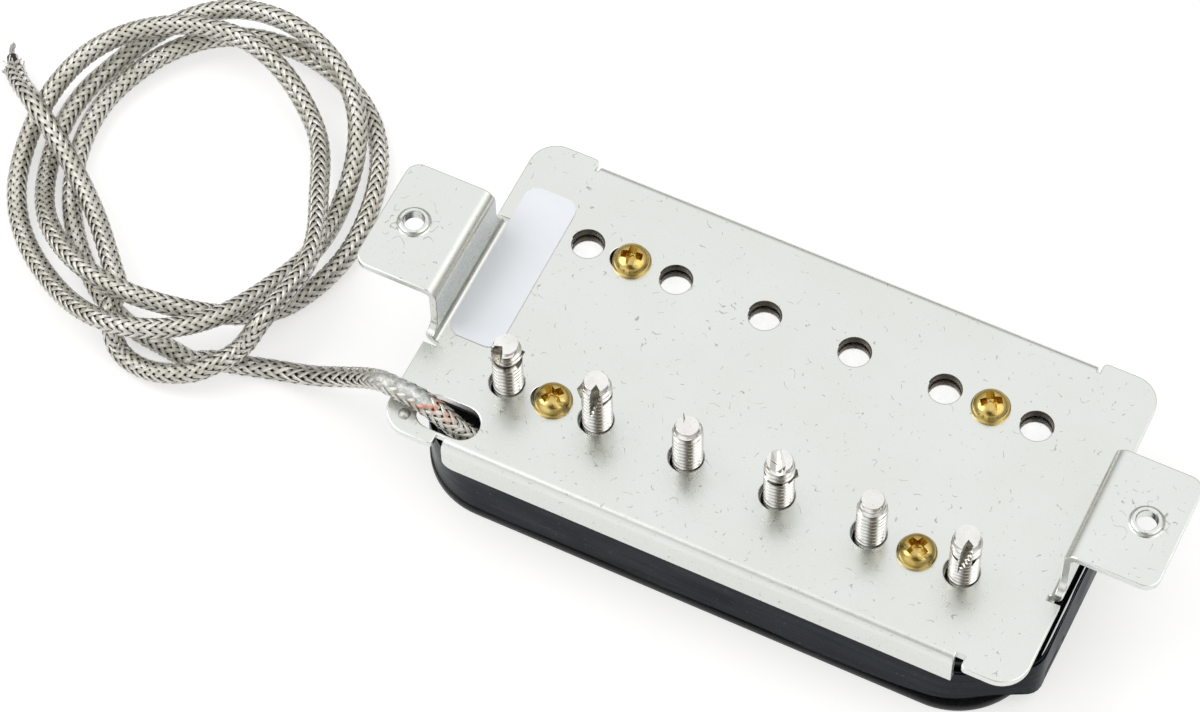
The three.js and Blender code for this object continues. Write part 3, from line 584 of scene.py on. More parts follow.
NICKEL = satin_nickel()
STEEL = screw_steel()
CLIPPED = broken_steel()
SLUG_STEEL = slug_steel()
BRASS = gold_brass()
PLASTIC = moulded_black()
COPPER = copper_wire()
TAPE = shiny_tape()
PAPER = bare_paper()
BRAID = braid_wire()
MAGNET = plain("magnet_grey", (0.16, 0.16, 0.155), (0.09, 0.09, 0.09), 0.55, 0.6, 300.0, 0.00005)
KEEPER = plain("plain_steel", (0.42, 0.41, 0.40), (0.28, 0.27, 0.26), 0.42, 1.0, 300.0, 0.00004)
MAPLE = plain("maple_wood", (0.60, 0.42, 0.24), (0.48, 0.31, 0.16), 0.6, 0.0, 200.0, 0.00006)
RUBBER = plain("black_insulation", (0.004, 0.004, 0.005), (0.012, 0.012, 0.013), 0.6, 0.0, 400.0, 0.00003)
WHITE_LEAD = plain("white_insulation", (0.74, 0.73, 0.69), (0.66, 0.65, 0.6), 0.45, 0.0, 400.0, 0.00003)
TINNED = plain("tinned_wire", (0.64, 0.64, 0.64), (0.45, 0.44, 0.43), 0.3, 1.0, 900.0, 0.00003)
SOLDER = plain("solder", (0.55, 0.55, 0.52), (0.34, 0.33, 0.3), 0.34, 1.0, 900.0, 0.00005)
SOAKED = plain("soaked_braid", (0.74, 0.76, 0.75), (0.28, 0.29, 0.28), 0.36, 0.85, 1300.0, 0.00012)
# The slug holes' walls: a rough punched edge, painted dark also as the shade inside the holes.
PUNCHED_WALL_SHADE = plain("punched_edge_painted_shade", (0.12, 0.10, 0.07), (0.02, 0.018, 0.014), 0.5, 0.6, 900.0, 0.0001)

CAD_FINISHES = {
    "screw_coil": COPPER, "slug_coil": COPPER, "screw_coil_tape": TAPE, "slug_coil_tape": TAPE,
    "bar_magnet": MAGNET, "keeper_bar": KEEPER, "spacer_bar": MAPLE,
}


def dress_cad_nodes():
    for name, material in CAD_FINISHES.items():
        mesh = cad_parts[name].data
        for index in range(max(1, len(mesh.materials))):
            if mesh.materials:
                mesh.materials[index] = material
            else:
                mesh.materials.append(material)


# Making pieces

def finished(name, bm, material, body="pickup", nodes=(), slot=None, sharp=35):
    """Scale a bmesh to metres, orient its faces, and add it as a piece that rides on a body."""
    bmesh.ops.recalc_face_normals(bm, faces=bm.faces)
    bmesh.ops.scale(bm, vec=(MM, MM, MM), verts=bm.verts)
    mesh = bpy.data.meshes.new(name)
    bm.to_mesh(mesh)
    bm.free()
    mesh.shade_smooth()
    mesh.set_sharp_from_angle(angle=math.radians(sharp))
    mesh.materials.append(material)
    piece = bpy.data.objects.new(name, mesh)
    bpy.context.scene.collection.objects.link(piece)
    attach(piece, body)
    if nodes:
        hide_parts(*nodes)
    return piece


def arc(cx, cy, radius, start, end, steps):
    """Points along an arc, from one angle in degrees to another."""
    angles = [math.radians(start + (end - start) * step / steps) for step in range(steps + 1)]
    return [(cx + radius * math.cos(a), cy + radius * math.sin(a)) for a in angles]


def circle(cx, cy, radius, sides=ROUND_SIDES):
    return arc(cx, cy, radius, 0, 360, sides)[:-1]


def stadium(cx, cy, half_straight, radius, steps):
    return (arc(cx + half_straight, cy, radius, -90, 90, steps)
            + arc(cx - half_straight, cy, radius, 90, 270, steps))


def rounded_box(cx, cy, half_x, half_y, radius, steps=8):
    dx, dy = half_x - radius, half_y - radius
    return (arc(cx + dx, cy - dy, radius, -90, 0, steps) + arc(cx + dx, cy + dy, radius, 0, 90, steps)
            + arc(cx - dx, cy + dy, radius, 90, 180, steps) + arc(cx - dx, cy - dy, radius, 180, 270, steps))


def slab(bm, outlines, low, high, rounding):
    """A flat slab with its outlines' rims rounded. The first outline is outside and the others are holes."""
    middle = (low + high) / 2
    half = (high - low) / 2
    part = bmesh.new()
    for outline in outlines:
        corners = [part.verts.new((x, y, half)) for x, y in outline]
        for index, corner in enumerate(corners):
            part.edges.new((corners[index - 1], corner))
    bmesh.ops.triangle_fill(part, use_beauty=True, use_dissolve=False, edges=part.edges, normal=(0, 0, 1))
    share = 0.29
    bmesh.ops.inset_region(part, faces=part.faces, use_boundary=True, use_even_offset=True,
                           thickness=rounding * share)
    strip = {v for v in part.verts if v.is_boundary}
    inner = [f for f in part.faces if not any(v in strip for v in f.verts)]
    bmesh.ops.inset_region(part, faces=inner, use_boundary=True, use_even_offset=True,
                           thickness=rounding * (1 - share))
    for v in strip:
        v.co.z -= rounding
    halfway = {w for v in strip for e in v.link_edges for w in e.verts} - strip
    for v in halfway:
        v.co.z -= rounding * share
    wall = bmesh.ops.extrude_edge_only(part, edges=[e for e in part.edges if e.is_boundary])
    for v in wall["geom"]:
        if isinstance(v, bmesh.types.BMVert):
            v.co.z = 0
    copy = bmesh.ops.duplicate(part, geom=part.verts[:] + part.edges[:] + part.faces[:])
    for v in copy["geom"]:
        if isinstance(v, bmesh.types.BMVert):
            v.co.z = -v.co.z
    bmesh.ops.remove_doubles(part, verts=part.verts, dist=0.002)
    bmesh.ops.recalc_face_normals(part, faces=part.faces)
    bmesh.ops.translate(part, vec=(0, 0, middle), verts=part.verts)
    pour(bm, part)


def pour(bm, part):
    """Add one bmesh to another."""
    mesh = bpy.data.meshes.new("part")
    part.to_mesh(mesh)
    part.free()
    bm.from_mesh(mesh)
    bpy.data.meshes.remove(mesh)


def raised(profile, base):
    """A profile with its heights measured from a base."""
    return [(radius, base + height) for radius, height in profile]


def turned(profile, x, y, sides=ROUND_SIDES):
    """A profile of radius and height, spun about an upright axis. Its ends are on the axis."""
    part = bmesh.new()
    corners = [part.verts.new((x + radius, y, height)) for radius, height in profile]
    edges = [part.edges.new(pair) for pair in zip(corners, corners[1:])]
    bmesh.ops.spin(part, geom=corners + edges, cent=(x, y, 0), axis=(0, 0, 1), dvec=(0, 0, 0),
                   angle=FULL, steps=sides, use_merge=True, use_duplicate=False)
    bmesh.ops.remove_doubles(part, verts=part.verts, dist=0.001)
    bmesh.ops.recalc_face_normals(part, faces=part.faces)
    return part


# The cable's line, its braid and its free end

def blended(here, slope, there, next_slope, t):
    """A value between two others, with the given slopes at them. t goes from 0 to 1."""
    return (here * (2 * t**3 - 3 * t**2 + 1) + slope * (t**3 - 2 * t**2 + t)
            + there * (3 * t**2 - 2 * t**3) + next_slope * (t**3 - t**2))


def slope_at(before, here, after, gap, next_gap):
    """The slope at a point, from its neighbours and the gaps to them."""
    return (here - before) / gap - (after - before) / (gap + next_gap) + (after - here) / next_gap


def through(points, step):
    """Points about a step apart on a smooth line through the route's points."""
    knots = [Vector(p) for p in points]
    knots = [2 * knots[0] - knots[1]] + knots + [2 * knots[-1] - knots[-2]]
    line = []
    for before, here, there, after in zip(knots, knots[1:], knots[2:], knots[3:]):
        gaps = [math.sqrt((b - a).length) for a, b in ((before, here), (here, there), (there, after))]
        slope = slope_at(before, here, there, gaps[0], gaps[1]) * gaps[1]
        next_slope = slope_at(here, there, after, gaps[1], gaps[2]) * gaps[1]
        count = max(1, round((there - here).length / step))
        line += [blended(here, slope, there, next_slope, index / count) for index in range(count)]
    line.append(knots[-2])
    return line


def smooth_row(row, place):
    """The value of a row of numbers at a place between two of them."""
    last = len(row) - 1
    index = min(int(place), last - 1)
    here, there = row[index], row[index + 1]
    before = row[index - 1] if index > 0 else 2 * row[0] - row[1]
    after = row[index + 2] if index + 2 <= last else 2 * row[last] - row[last - 1]
    return blended(here, (there - before) / 2, there, (after - here) / 2, place - index)


def coil_line():
    """The coil's stations, joined by smooth steps of reach and lift."""
    line = []
    for step in range((len(COIL_REACH) - 1) * STEPS_PER_STATION + 1):
        place = step / STEPS_PER_STATION
        angle = FULL * (COIL_START - place / STATIONS_PER_LOOP)
        reach = smooth_row(COIL_REACH, place)
        lift = max(smooth_row(COIL_LIFT, place), 0)
        x = COIL_CENTRE[0] + reach * math.cos(angle)
        y = COIL_CENTRE[1] + reach * math.sin(angle)
        line.append(Vector((x, y, CABLE_RADIUS + lift)))
    return line


def evened(line, step):
    """The same line with its points evenly apart."""
    far = [0.0]
    for a, b in zip(line, line[1:]):
        far.append(far[-1] + (b - a).length)
    count = max(2, round(far[-1] / step))
    out, at = [], 0
    for index in range(count + 1):
        want = far[-1] * index / count
        while at < len(far) - 2 and far[at + 1] < want:
            at += 1
        share = (want - far[at]) / max(far[at + 1] - far[at], 1e-9)
        out.append(line[at].lerp(line[at + 1], min(max(share, 0), 1)))
    return out


def eased(line, times):
    """The line with small kinks smoothed out, its ends kept."""
    for _ in range(times):
        line = [line[0]] + [(a + 2 * b + c) / 4 for a, b, c in zip(line, line[1:], line[2:])] + [line[-1]]
    return line


def cable_line():
    coil = coil_line()
    run_in = (coil[0] - coil[1]).normalized()
    run_out = (coil[-1] - coil[-2]).normalized()
    before = [coil[0] + run_in * 4.7, coil[0] + run_in * 2.5, coil[0]]
    after = [coil[-1], coil[-1] + run_out * 2.5, coil[-1] + run_out * 4.7]
    tail = through([Vector(p) for p in TAIL_ROUTE] + before, 0.5)
    end = through(after + [Vector(p) for p in END_ROUTE], 0.5)
    return eased(evened(tail + coil[1:-1] + end, 0.3), 6)


class Route:
    """A line with a frame carried along it, so that anything can be laid round it."""

    def __init__(self, line):
        self.line = line
        self.step = sum((b - a).length for a, b in zip(line, line[1:])) / (len(line) - 1)
        self.long = self.step * (len(line) - 1)
        self.ups, self.sides = [], []
        up = Vector((0, 0, 1))
        for index in range(len(line)):
            ahead = (line[min(index + 1, len(line) - 1)] - line[max(index - 1, 0)]).normalized()
            up = (up - ahead * up.dot(ahead)).normalized()
            self.ups.append(up)
            self.sides.append(ahead.cross(up))

    def at(self, far, angle, radius, wide=1.0, tall=1.0):
        """The point that far along, at that angle round the line and that radius from it."""
        place = min(max(far / self.step, 0), len(self.line) - 1.0001)
        index = int(place)
        share = place - index
        middle = self.line[index].lerp(self.line[index + 1], share)
        up = self.ups[index].lerp(self.ups[index + 1], share)
        side = self.sides[index].lerp(self.sides[index + 1], share)
        return middle + up * (math.cos(angle) * radius * tall) + side * (math.sin(angle) * radius * wide)


def counts_on_grid(part, columns, rows):
    """Each point of a new flat grid, with its two counts on it."""
    return {v: (round((v.co.x + 1) / 2 * columns), round((v.co.y + 1) / 2 * rows)) for v in part.verts}


def wrapped_grid(bm, long_steps, round_steps, place, mark=None):
    """A grid laid by a function of its two counts, closed on itself round the second one. mark gives the
    value of the "along" UV map at two counts."""
    part = bmesh.new()
    layer = part.loops.layers.uv.new("along") if mark else None
    bmesh.ops.create_grid(part, x_segments=long_steps, y_segments=round_steps, size=1)
    counts = counts_on_grid(part, long_steps, round_steps)
    if layer:
        for face in part.faces:
            for loop in face.loops:
                loop[layer].uv = mark(*counts[loop.vert])
    for v, (i, j) in counts.items():
        v.co = place(i, j % round_steps)
    bmesh.ops.remove_doubles(part, verts=part.verts, dist=0.0005)
    bmesh.ops.holes_fill(part, edges=[e for e in part.edges if e.is_boundary], sides=0)
    pour(bm, part)


def tube(bm, route, radius, sides, step, start=0.0, end=None):
    """A round tube along part of a route. The radius may be a function of the distance."""
    end = route.long if end is None else end
    count = max(1, round((end - start) / step))
    size = radius if callable(radius) else lambda far: radius

    def place(i, j):
        far = start + (end - start) * i / count
        return route.at(far, FULL * j / sides, size(far))

    wrapped_grid(bm, count, sides, place)


RIBBON_SHAPE = [(-1.0, 0.0), (-0.5, 0.85), (0.0, 1.0), (0.5, 0.85), (1.0, 0.0), (0.0, -0.5)]


def crossings(start, end, pulled):
    """How far along the braid's bundles cross. pulled lists places where they are stretched out: how far
    along, over how much and by how much."""
    places = [start]
    while places[-1] < end:
        far = places[-1]
        stretch = sum(more * math.exp(-((far - middle) / width) ** 2) for middle, width, more in pulled)
        places.append(far + CROSSING_STEP * (1 + stretch))
    squeeze = (end - start) / (places[-1] - start)
    return [start + (far - start) * squeeze for far in places]


def braid(bm, route, start, end, pulled=()):
    """Sixteen flat bundles, eight each way, each over two and under two of the others."""
    slope = FULL * UNDER_RADIUS / (2 * CARRIERS * CROSSING_STEP)
    lean = math.atan(slope)
    places = crossings(start, end, pulled)
    count = len(places) - 1
    for way in (1, -1):
        for carrier in range(CARRIERS):

            def place(i, j, way=way, carrier=carrier):
                across, out = RIBBON_SHAPE[j]
                column = 2 * carrier + way * i
                over = column % 4 < 2 if way > 0 else column % 4 >= 2
                radius = OVER_RADIUS if over else UNDER_RADIUS
                turn = way * across * RIBBON_HALF_WIDTH * math.cos(lean) / radius
                shift = -across * RIBBON_HALF_WIDTH * math.sin(lean)
                far = places[i] + shift
                wide, tall = flattened(far)
                angle = FULL * column / (2 * CARRIERS) + turn
                return route.at(far, angle, radius + out * RIBBON_THICKNESS / 2, wide, tall)

            def mark(i, j, way=way, carrier=carrier):
                across = RIBBON_SHAPE[j % len(RIBBON_SHAPE)][0]
                return (across + 1) / 2, 2 * carrier + way * i + (0 if way > 0 else 2)

            wrapped_grid(bm, count, len(RIBBON_SHAPE), place, mark)


def flattened(far):
    """The cable is pressed a little flat where it lies in the slot's edge."""
    press = math.exp(-((far - 4.5) / 3.5) ** 2)
    return 1 + 0.14 * press, 1 - 0.12 * press


SOAKED_START, SOAKED_END = 3.4, 12.5
STRAY_STRANDS = 18


def soaked_radius(far):
    """The solder that has run into the braid near the plate, thinning out at both ends."""
    into = min((far - SOAKED_START) / 1.5, (SOAKED_END - far) / 3.0, 1)
    return 0.86 + 0.165 * math.sin(max(into, 0) * QUARTER)


def make_cable():
    line = cable_line()
    route = Route(line)
    bm = bmesh.new()
    braid(bm, route, 0, route.long - 0.3, [(21, 8, 1.2), (route.long - 6, 7, 0.4)])
    cable = finished("braided_cable", bm, BRAID, nodes=("cable_tail", "cable_coil", "cable_end_run"),
                     slot="silver_braid", sharp=60)
    bm = bmesh.new()
    tube(bm, route, SHEATH_RADIUS, 10, 0.7)
    sheath = finished("cable_sheath", bm, RUBBER, slot="black_insulation")
    bm = bmesh.new()
    tube(bm, route, soaked_radius, 26, 0.16, SOAKED_START, SOAKED_END)
    for v in bm.verts:
        v.co += 0.05 * noise.noise_vector(v.co * 1.9)
    soaked = finished("soldered_stretch", bm, SOAKED, slot="tinned_wire")
    bm = bmesh.new()
    bare = Route(through(END_CORE_ROUTE, 0.2))
    tube(bm, bare, 0.6, 16, 0.25)
    core = finished("free_end_core", bm, RUBBER, nodes=("cable_end_core",), slot="black_insulation")
    bm = bmesh.new()
    conductor = Route(through(END_CONDUCTOR_ROUTE, 0.1))
    for strand in range(7):
        twist = [conductor.at(far * 0.1, strand / 6 * FULL + far * 0.12, 0.2 if strand < 6 else 0.0)
                 for far in range(int(conductor.long / 0.1) - (strand % 3))]
        tube(bm, Route(twist), 0.12, 7, 0.12)
    wires = finished("free_end_wires", bm, TINNED, nodes=("cable_end_conductor",), slot="tinned_wire")
    bm = bmesh.new()
    for strand in range(STRAY_STRANDS):
        reach = 1.0 + 0.6 * math.sin(strand * 2.4)
        flare = 0.35 + 0.3 * math.sin(strand * 4.1)
        turn = strand / STRAY_STRANDS * FULL
        curl = [bare.at(0.1 + reach * t / 10, turn + 0.7 * math.sin(strand * 1.7) * t / 10,
                        0.98 + flare * (t / 10) ** 2) for t in range(11)]
        tube(bm, Route(curl), 0.075, 6, 0.12)
    strays = finished("stray_strands", bm, TINNED, slot="tinned_wire")


def make_inner_cable():
    route = Route(evened(through(INNER_ROUTE, 0.3), 0.3))
    bm = bmesh.new()
    braid(bm, route, 0.3, route.long)
    finished("braided_inner_run", bm, BRAID, nodes=("cable_inner_run",), slot="silver_braid", sharp=60)
    bm = bmesh.new()
    tube(bm, route, SHEATH_RADIUS, 10, 0.7)
    finished("inner_run_sheath", bm, RUBBER, slot="black_insulation")


INNER_LEADS = [
    ("inner_core", "cable_inner_core", 0.62, RUBBER, "black_insulation",
     [(-14.0, -15, 11), (-8.6, -15, 11)]),
    ("splice_sleeve", "lead_splice", 0.95, RUBBER, "black_insulation",
     [(-8.6, -15, 11), (-0.6, -15, 11)]),
    ("hot_wire", "hot_lead", 0.45, RUBBER, "black_insulation",
     [(-0.3, -15, 11), (12, -15, 11), (24, -15, 11), (29.6, -14.4, 10.9), (32.4, -12.8, 10.1),
      (33.2, -11.6, 8.2), (33.2, -11.2, 5.9)]),
    ("ground_wire", "ground_lead", 0.45, WHITE_LEAD, "white_insulation",
     [(-20, -12.75, 11), (0, -12.75, 11), (20, -12.75, 11), (28, -12.75, 11), (31.6, -12, 11.4),
      (32.9, -8.98, 11.7), (33.1, -3, 11.7), (33.1, 5, 11.6), (33.2, 9.6, 10.4), (33.2, 11, 8.2),
      (33.2, 11.2, 5.9)]),
    ("series_wire", "series_link", 0.6, RUBBER, "black_insulation",
     [(33.2, -11.2, 5), (33.2, 11.2, 5)]),
]


def make_inner_leads():
    for name, node, radius, material, slot, points in INNER_LEADS:
        bm = bmesh.new()
        tube(bm, Route(evened(through(points, 0.5), 0.5)), radius, 14, 0.9)
        finished(name, bm, material, nodes=(node,), slot=slot)


# The bent baseplate

LIP_ARC = LIP_BEND_RADIUS * QUARTER
LEG_ARC = LEG_BEND_RADIUS * QUARTER
LIP_EDGE = LIP_BEND_Y + LIP_ARC + LIP_DROP
FOOT_EDGE = LEG_BEND_X + 2 * LEG_ARC + LEG_RISE + FOOT_REACH
ROOT_X = LEG_BEND_X + LEG_ARC + LEG_ROOT_RISE


def flat_half(notch):
    """Half of the sheet's flat pattern, from the middle of one foot round to the other."""
    foot = (arc(FOOT_EDGE - FOOT_CORNER, FOOT_HALF_WIDTH - FOOT_CORNER, FOOT_CORNER, 0, 90, 8)
            + arc(ROOT_X + LEG_FILLET, LEG_ROOT_HALF_WIDTH, LEG_FILLET, -90, -180, 8)
            + [(LEG_BEND_X, LEG_ROOT_HALF_WIDTH), (LEG_BEND_X, LEG_ROOT_HALF_WIDTH + LEG_NOTCH)])
    ear = ([(PLATE_HALF_LENGTH, LEG_ROOT_HALF_WIDTH + LEG_NOTCH)]
           + arc(PLATE_HALF_LENGTH - PLATE_CORNER, PLATE_HALF_WIDTH - PLATE_CORNER, PLATE_CORNER, 0, 90, 12)
           + arc(LIP_HALF_LENGTH + notch + EAR_CORNER, PLATE_HALF_WIDTH - EAR_CORNER, EAR_CORNER, 90, 180, 5)
           + [(LIP_HALF_LENGTH + notch, LIP_BEND_Y), (LIP_HALF_LENGTH, LIP_BEND_Y)])
    lip = arc(LIP_HALF_LENGTH - LIP_CORNER, LIP_EDGE - LIP_CORNER, LIP_CORNER, 0, 90, 8)
    other = [(-x, y) for x, y in reversed(foot + ear)]
    return foot + ear + lip + [(-LIP_HALF_LENGTH, LIP_EDGE)] + other


def bent(x, y, z):
    """Where a point of the flat pattern goes when the lips are bent down and the feet up. z is its height
    above the middle of the sheet."""
    side_x, side_y = math.copysign(1, x), math.copysign(1, y)
    along, across = abs(x), abs(y)
    middle = (PLATE_TOP + PLATE_UNDER) / 2
    if across > LIP_BEND_Y and along <= LIP_HALF_LENGTH + 0.001:
        past = across - LIP_BEND_Y
        angle = min(past / LIP_BEND_RADIUS, QUARTER)
        fall = max(past - LIP_ARC, 0)
        return (x, side_y * (LIP_BEND_Y + (LIP_BEND_RADIUS + z) * math.sin(angle)),
                LIP_BEND_Z + (LIP_BEND_RADIUS + z) * math.cos(angle) - fall)
    if along > LEG_BEND_X and across <= LEG_ROOT_HALF_WIDTH + 0.001:
        past = along - LEG_BEND_X
        first = min(past / LEG_BEND_RADIUS, QUARTER)
        radius = LEG_BEND_RADIUS - z
        low_z = middle + LEG_BEND_RADIUS
        if past <= LEG_ARC:
            return side_x * (LEG_BEND_X + radius * math.sin(first)), y, low_z - radius * math.cos(first)
        wall_x = LEG_BEND_X + LEG_BEND_RADIUS
        rise = min(past - LEG_ARC, LEG_RISE)
        if past <= LEG_ARC + LEG_RISE:
            return side_x * (wall_x - z), y, low_z + rise
        second = min((past - LEG_ARC - LEG_RISE) / LEG_BEND_RADIUS, QUARTER)
        outer = LEG_BEND_RADIUS + z
        high_x, high_z = wall_x + LEG_BEND_RADIUS, low_z + LEG_RISE
        out = max(past - 2 * LEG_ARC - LEG_RISE, 0)
        return side_x * (high_x - outer * math.cos(second) + out), y, high_z + outer * math.sin(second)
    return x, y, middle + z


def foot_collar(side):
    """The raised rim round a foot's hole, pushed up from the sheet."""
    return turned([
        (FOOT_HOLE_RADIUS, FOOT_TOP - 0.6), (FOOT_HOLE_RADIUS, 20.68), (1.14, 20.8), (1.42, 20.8),
        (1.56, 20.72), (1.64, 20.5), (1.78, 20.41), (2.05, 20.38), (2.05, FOOT_TOP - 0.6),
        (FOOT_HOLE_RADIUS, FOOT_TOP - 0.6),
    ], side * FOOT_HOLE_X, 0)


def make_baseplate():
    outline = flat_half(FAR_LIP_NOTCH) + [(-x, -y) for x, y in flat_half(LIP_NOTCH)]
    holes = [stadium(SLOT_X, SLOT_Y, SLOT_HALF_STRAIGHT, SLOT_RADIUS, 20)]
    holes += [circle(x, ROW_OFFSET, SLUG_SIGHT_RADIUS) for x in POLE_XS]
    holes += [circle(x - SCREW_HOLE_SLIP, -ROW_OFFSET, SCREW_HOLE_RADIUS) for x in POLE_XS]
    holes += [circle(x, y, BRASS_HOLE_RADIUS, 24) for x in (-BRASS_X - BRASS_HOLE_SLIP, BRASS_X)
              for y in (-ROW_OFFSET, ROW_OFFSET)]
    foot_hole = LEG_BEND_X + 2 * LEG_ARC + LEG_RISE + FOOT_HOLE_X - (LEG_BEND_X + 2 * LEG_BEND_RADIUS)
    holes += [circle(side * foot_hole, 0, FOOT_HOLE_RADIUS, 32) for side in (-1, 1)]
    bm = bmesh.new()
    slab(bm, [outline] + holes, -SHEET / 2, SHEET / 2, RIM_ROUND)
    bends = [(1, LIP_BEND_Y, LIP_ARC), (0, LEG_BEND_X, LEG_ARC),
             (0, LEG_BEND_X + LEG_ARC + LEG_RISE, LEG_ARC)]
    for axis, start, long in bends:
        for side in (-1, 1):
            for step in range(BEND_STEPS + 1):
                place = [0, 0, 0]
                place[axis] = side * (start + long * step / BEND_STEPS)
                normal = [0, 0, 0]
                normal[axis] = 1
                bmesh.ops.bisect_plane(bm, geom=bm.verts[:] + bm.edges[:] + bm.faces[:], dist=0.0001,
                                       plane_co=place, plane_no=normal)
    for v in bm.verts:
        v.co = bent(*v.co)
    bm.normal_update()
    # The slug holes' walls take the second, dark finish: a rough punched edge and painted shade in the hole.
    for face in bm.faces:
        middle = face.calc_center_median()
        beside = min(math.hypot(middle.x - x, middle.y - ROW_OFFSET) for x in POLE_XS)
        rim = RIM_ROUND if middle.y > ROW_OFFSET else RIM_ROUND / 2
        if beside < SLUG_SIGHT_RADIUS + rim and abs(face.normal.z) < 0.97:
            face.material_index = 1
    for side in (-1, 1):
        pour(bm, foot_collar(side))
    plate = finished("bent_baseplate", bm, NICKEL, nodes=("baseplate",), slot="satin_nickel", sharp=18)
    plate.data.materials.append(PUNCHED_WALL_SHADE)
    flats = plate.modifiers.new("flats", "WEIGHTED_NORMAL")
    flats.keep_sharp = True
    flats.weight = 90


# Bobbins

# A bobbin's face flange, core and bottom flange: the radius and the steps of its ends, its low and high face
# and its rims' rounding. The core reaches into both flanges.
BOBBIN_LEVELS = [
    (FACE_FLANGE_RADIUS, 40, 0, FACE_FLANGE, 0.2),
    (CORE_RADIUS, 24, FACE_FLANGE - 0.1, BOBBIN_HEIGHT - BOTTOM_FLANGE + 0.1, 0.05),
    (BOTTOM_FLANGE_RADIUS, 40, BOBBIN_HEIGHT - BOTTOM_FLANGE, BOBBIN_HEIGHT, 0.15),
]


def make_bobbin(name, node, y):
    bm = bmesh.new()
    holes = [circle(x, y, FACE_HOLE_RADIUS, 36) for x in POLE_XS]
    for radius, steps, low, high, rounding in BOBBIN_LEVELS:
        slab(bm, [stadium(0, y, ROW_HALF_SPAN, radius, steps)] + holes, low, high, rounding)
    finished(name, bm, PLASTIC, nodes=(node,), slot="black_plastic")


# Tape, label and solder

def spread_bulge(side, bulge_x, bulge_y, bulge_radius):
    """One end of the tape's outline: taut round the coils' corners and over a bulge."""
    across, along = bulge_x - ROW_HALF_SPAN, bulge_y - ROW_OFFSET
    lean = math.degrees(math.acos((TAPE_RADIUS - bulge_radius) / math.hypot(across, along))
                        + math.atan2(along, across))
    points = (arc(ROW_HALF_SPAN, -ROW_OFFSET, TAPE_RADIUS, -90, -lean, 12)
              + arc(bulge_x, -bulge_y, bulge_radius, -lean, 0, 10)
              + arc(bulge_x, bulge_y, bulge_radius, 0, lean, 10)
              + arc(ROW_HALF_SPAN, ROW_OFFSET, TAPE_RADIUS, lean, 90, 12))
    return [(side * x, side * y) for x, y in points]


def near(x, y, at_x, at_y, reach):
    """1 at a place and fading to 0 over a reach."""
    return math.exp(-((x - at_x) ** 2 + (y - at_y) ** 2) / reach ** 2)


def tape_edges(x, y):
    """The heights of the tape's lower and upper edge at a place on its outline."""
    low = 1.25 + 1.55 * near(x, y, 29.5, -15.2, 6.0) + 0.12 * math.sin(x * 0.35)
    high = 8.75 - 0.9 * near(x, y, 31.0, -14.0, 5.5) + 0.15 * math.sin(x * 0.23 + y * 0.4)
    return max(low, 1.15), min(high, 8.95)


def wrap_of_tape(outline, low_share, high_share, lift):
    """A strip of tape round an outline, a little wavy, closed if the outline is."""
    line = evened([Vector((x, y, 0)) for x, y in outline], 0.55)
    last = len(line) - 1
    rows = 12
    bm = bmesh.new()
    bmesh.ops.create_grid(bm, x_segments=last, y_segments=rows, size=1)
    counts = counts_on_grid(bm, last, rows)
    closed = (line[0] - line[-1]).length < 0.01
    for v, (i, j) in counts.items():
        here = line[i]
        ahead = line[(i + 1) % last] if closed else line[min(i + 1, last)]
        behind = line[(i - 1) % last] if closed else line[max(i - 1, 0)]
        outward = (ahead - behind).normalized().cross(Vector((0, 0, 1)))
        low, high = tape_edges(here.x, here.y)
        share = low_share + (high_share - low_share) * j / rows
        height = low + (high - low) * share
        wave = noise.noise(Vector((here.x * 0.16, here.y * 0.16, height * 0.55 + 3)))
        crease = noise.noise(Vector((here.x * 0.5, here.y * 0.5, height * 1.7)))
        corner = near(here.x, here.y, 31.5, -13.0, 7.0) + near(here.x, here.y, 33.5, 6.0, 9.0)
        push = lift + wave * (0.06 + 0.16 * corner) + crease * (0.02 + 0.07 * corner)
        if j == 0:
            push += 0.05 * corner
        v.co = here + outward * min(push, 0.05) + Vector((0, 0, height))
    bmesh.ops.remove_doubles(bm, verts=bm.verts, dist=0.001)
    bmesh.ops.recalc_face_normals(bm, faces=bm.faces)
    bmesh.ops.solidify(bm, geom=bm.faces[:], thickness=TAPE_THICKNESS)
    return bm


TAPE_THICKNESS = 0.16
RIGHT_BULGE = (32.6, 11.2, 2.0)
LEFT_BULGE = (30.7, ROW_OFFSET, 2.3)
FLAP_START_X = 4.0


def make_outer_tape():
    """The whole wrap, and its loose end, which lies over it from the near side to the right corner."""
    outline = spread_bulge(1, *RIGHT_BULGE) + spread_bulge(-1, *LEFT_BULGE)
    bm = wrap_of_tape(outline + [outline[0]], 0.0, 1.0, 0.0)
    near_side = sorted(p for p in outline if p[1] < -16.0 and p[0] > -10)
    flap = [(FLAP_START_X, near_side[0][1])] + [p for p in near_side if p[0] > FLAP_START_X]
    start = outline.index(flap[-1])
    flap += outline[start + 1:start + 14]
    pour(bm, wrap_of_tape(flap, 0.03, 0.93, TAPE_THICKNESS))
    finished("wound_tape", bm, TAPE, nodes=("outer_tape",), slot="black_tape", sharp=50)


def make_label():
    bm = bmesh.new()
    slab(bm, [rounded_box(-30.15, 3.3, 2.85, 9.6, 1.5)], PLATE_TOP - 0.01, PLATE_TOP + 0.13, 0.04)
    finished("bare_label", bm, PAPER, nodes=("paper_label",), slot="white_paper")


SOLDER_PLACE = (-32.3, -16.6)
SOLDER_PROFILE = [(0, -0.05), (0.66, -0.05), (0.64, 0.03), (0.5, 0.16), (0.34, 0.27), (0.16, 0.33), (0, 0.34)]


def make_solder_drop():
    part = turned(raised(SOLDER_PROFILE, PLATE_TOP), *SOLDER_PLACE, 28)
    for v in part.verts:
        v.co.x += 0.07 * noise.noise(v.co * 1.7)
        v.co.y += 0.07 * noise.noise(v.co * 1.7 + Vector((9, 4, 2)))
    finished("solder_bead", part, SOLDER, nodes=("solder_drop",), slot="solder")


# Poles and screws

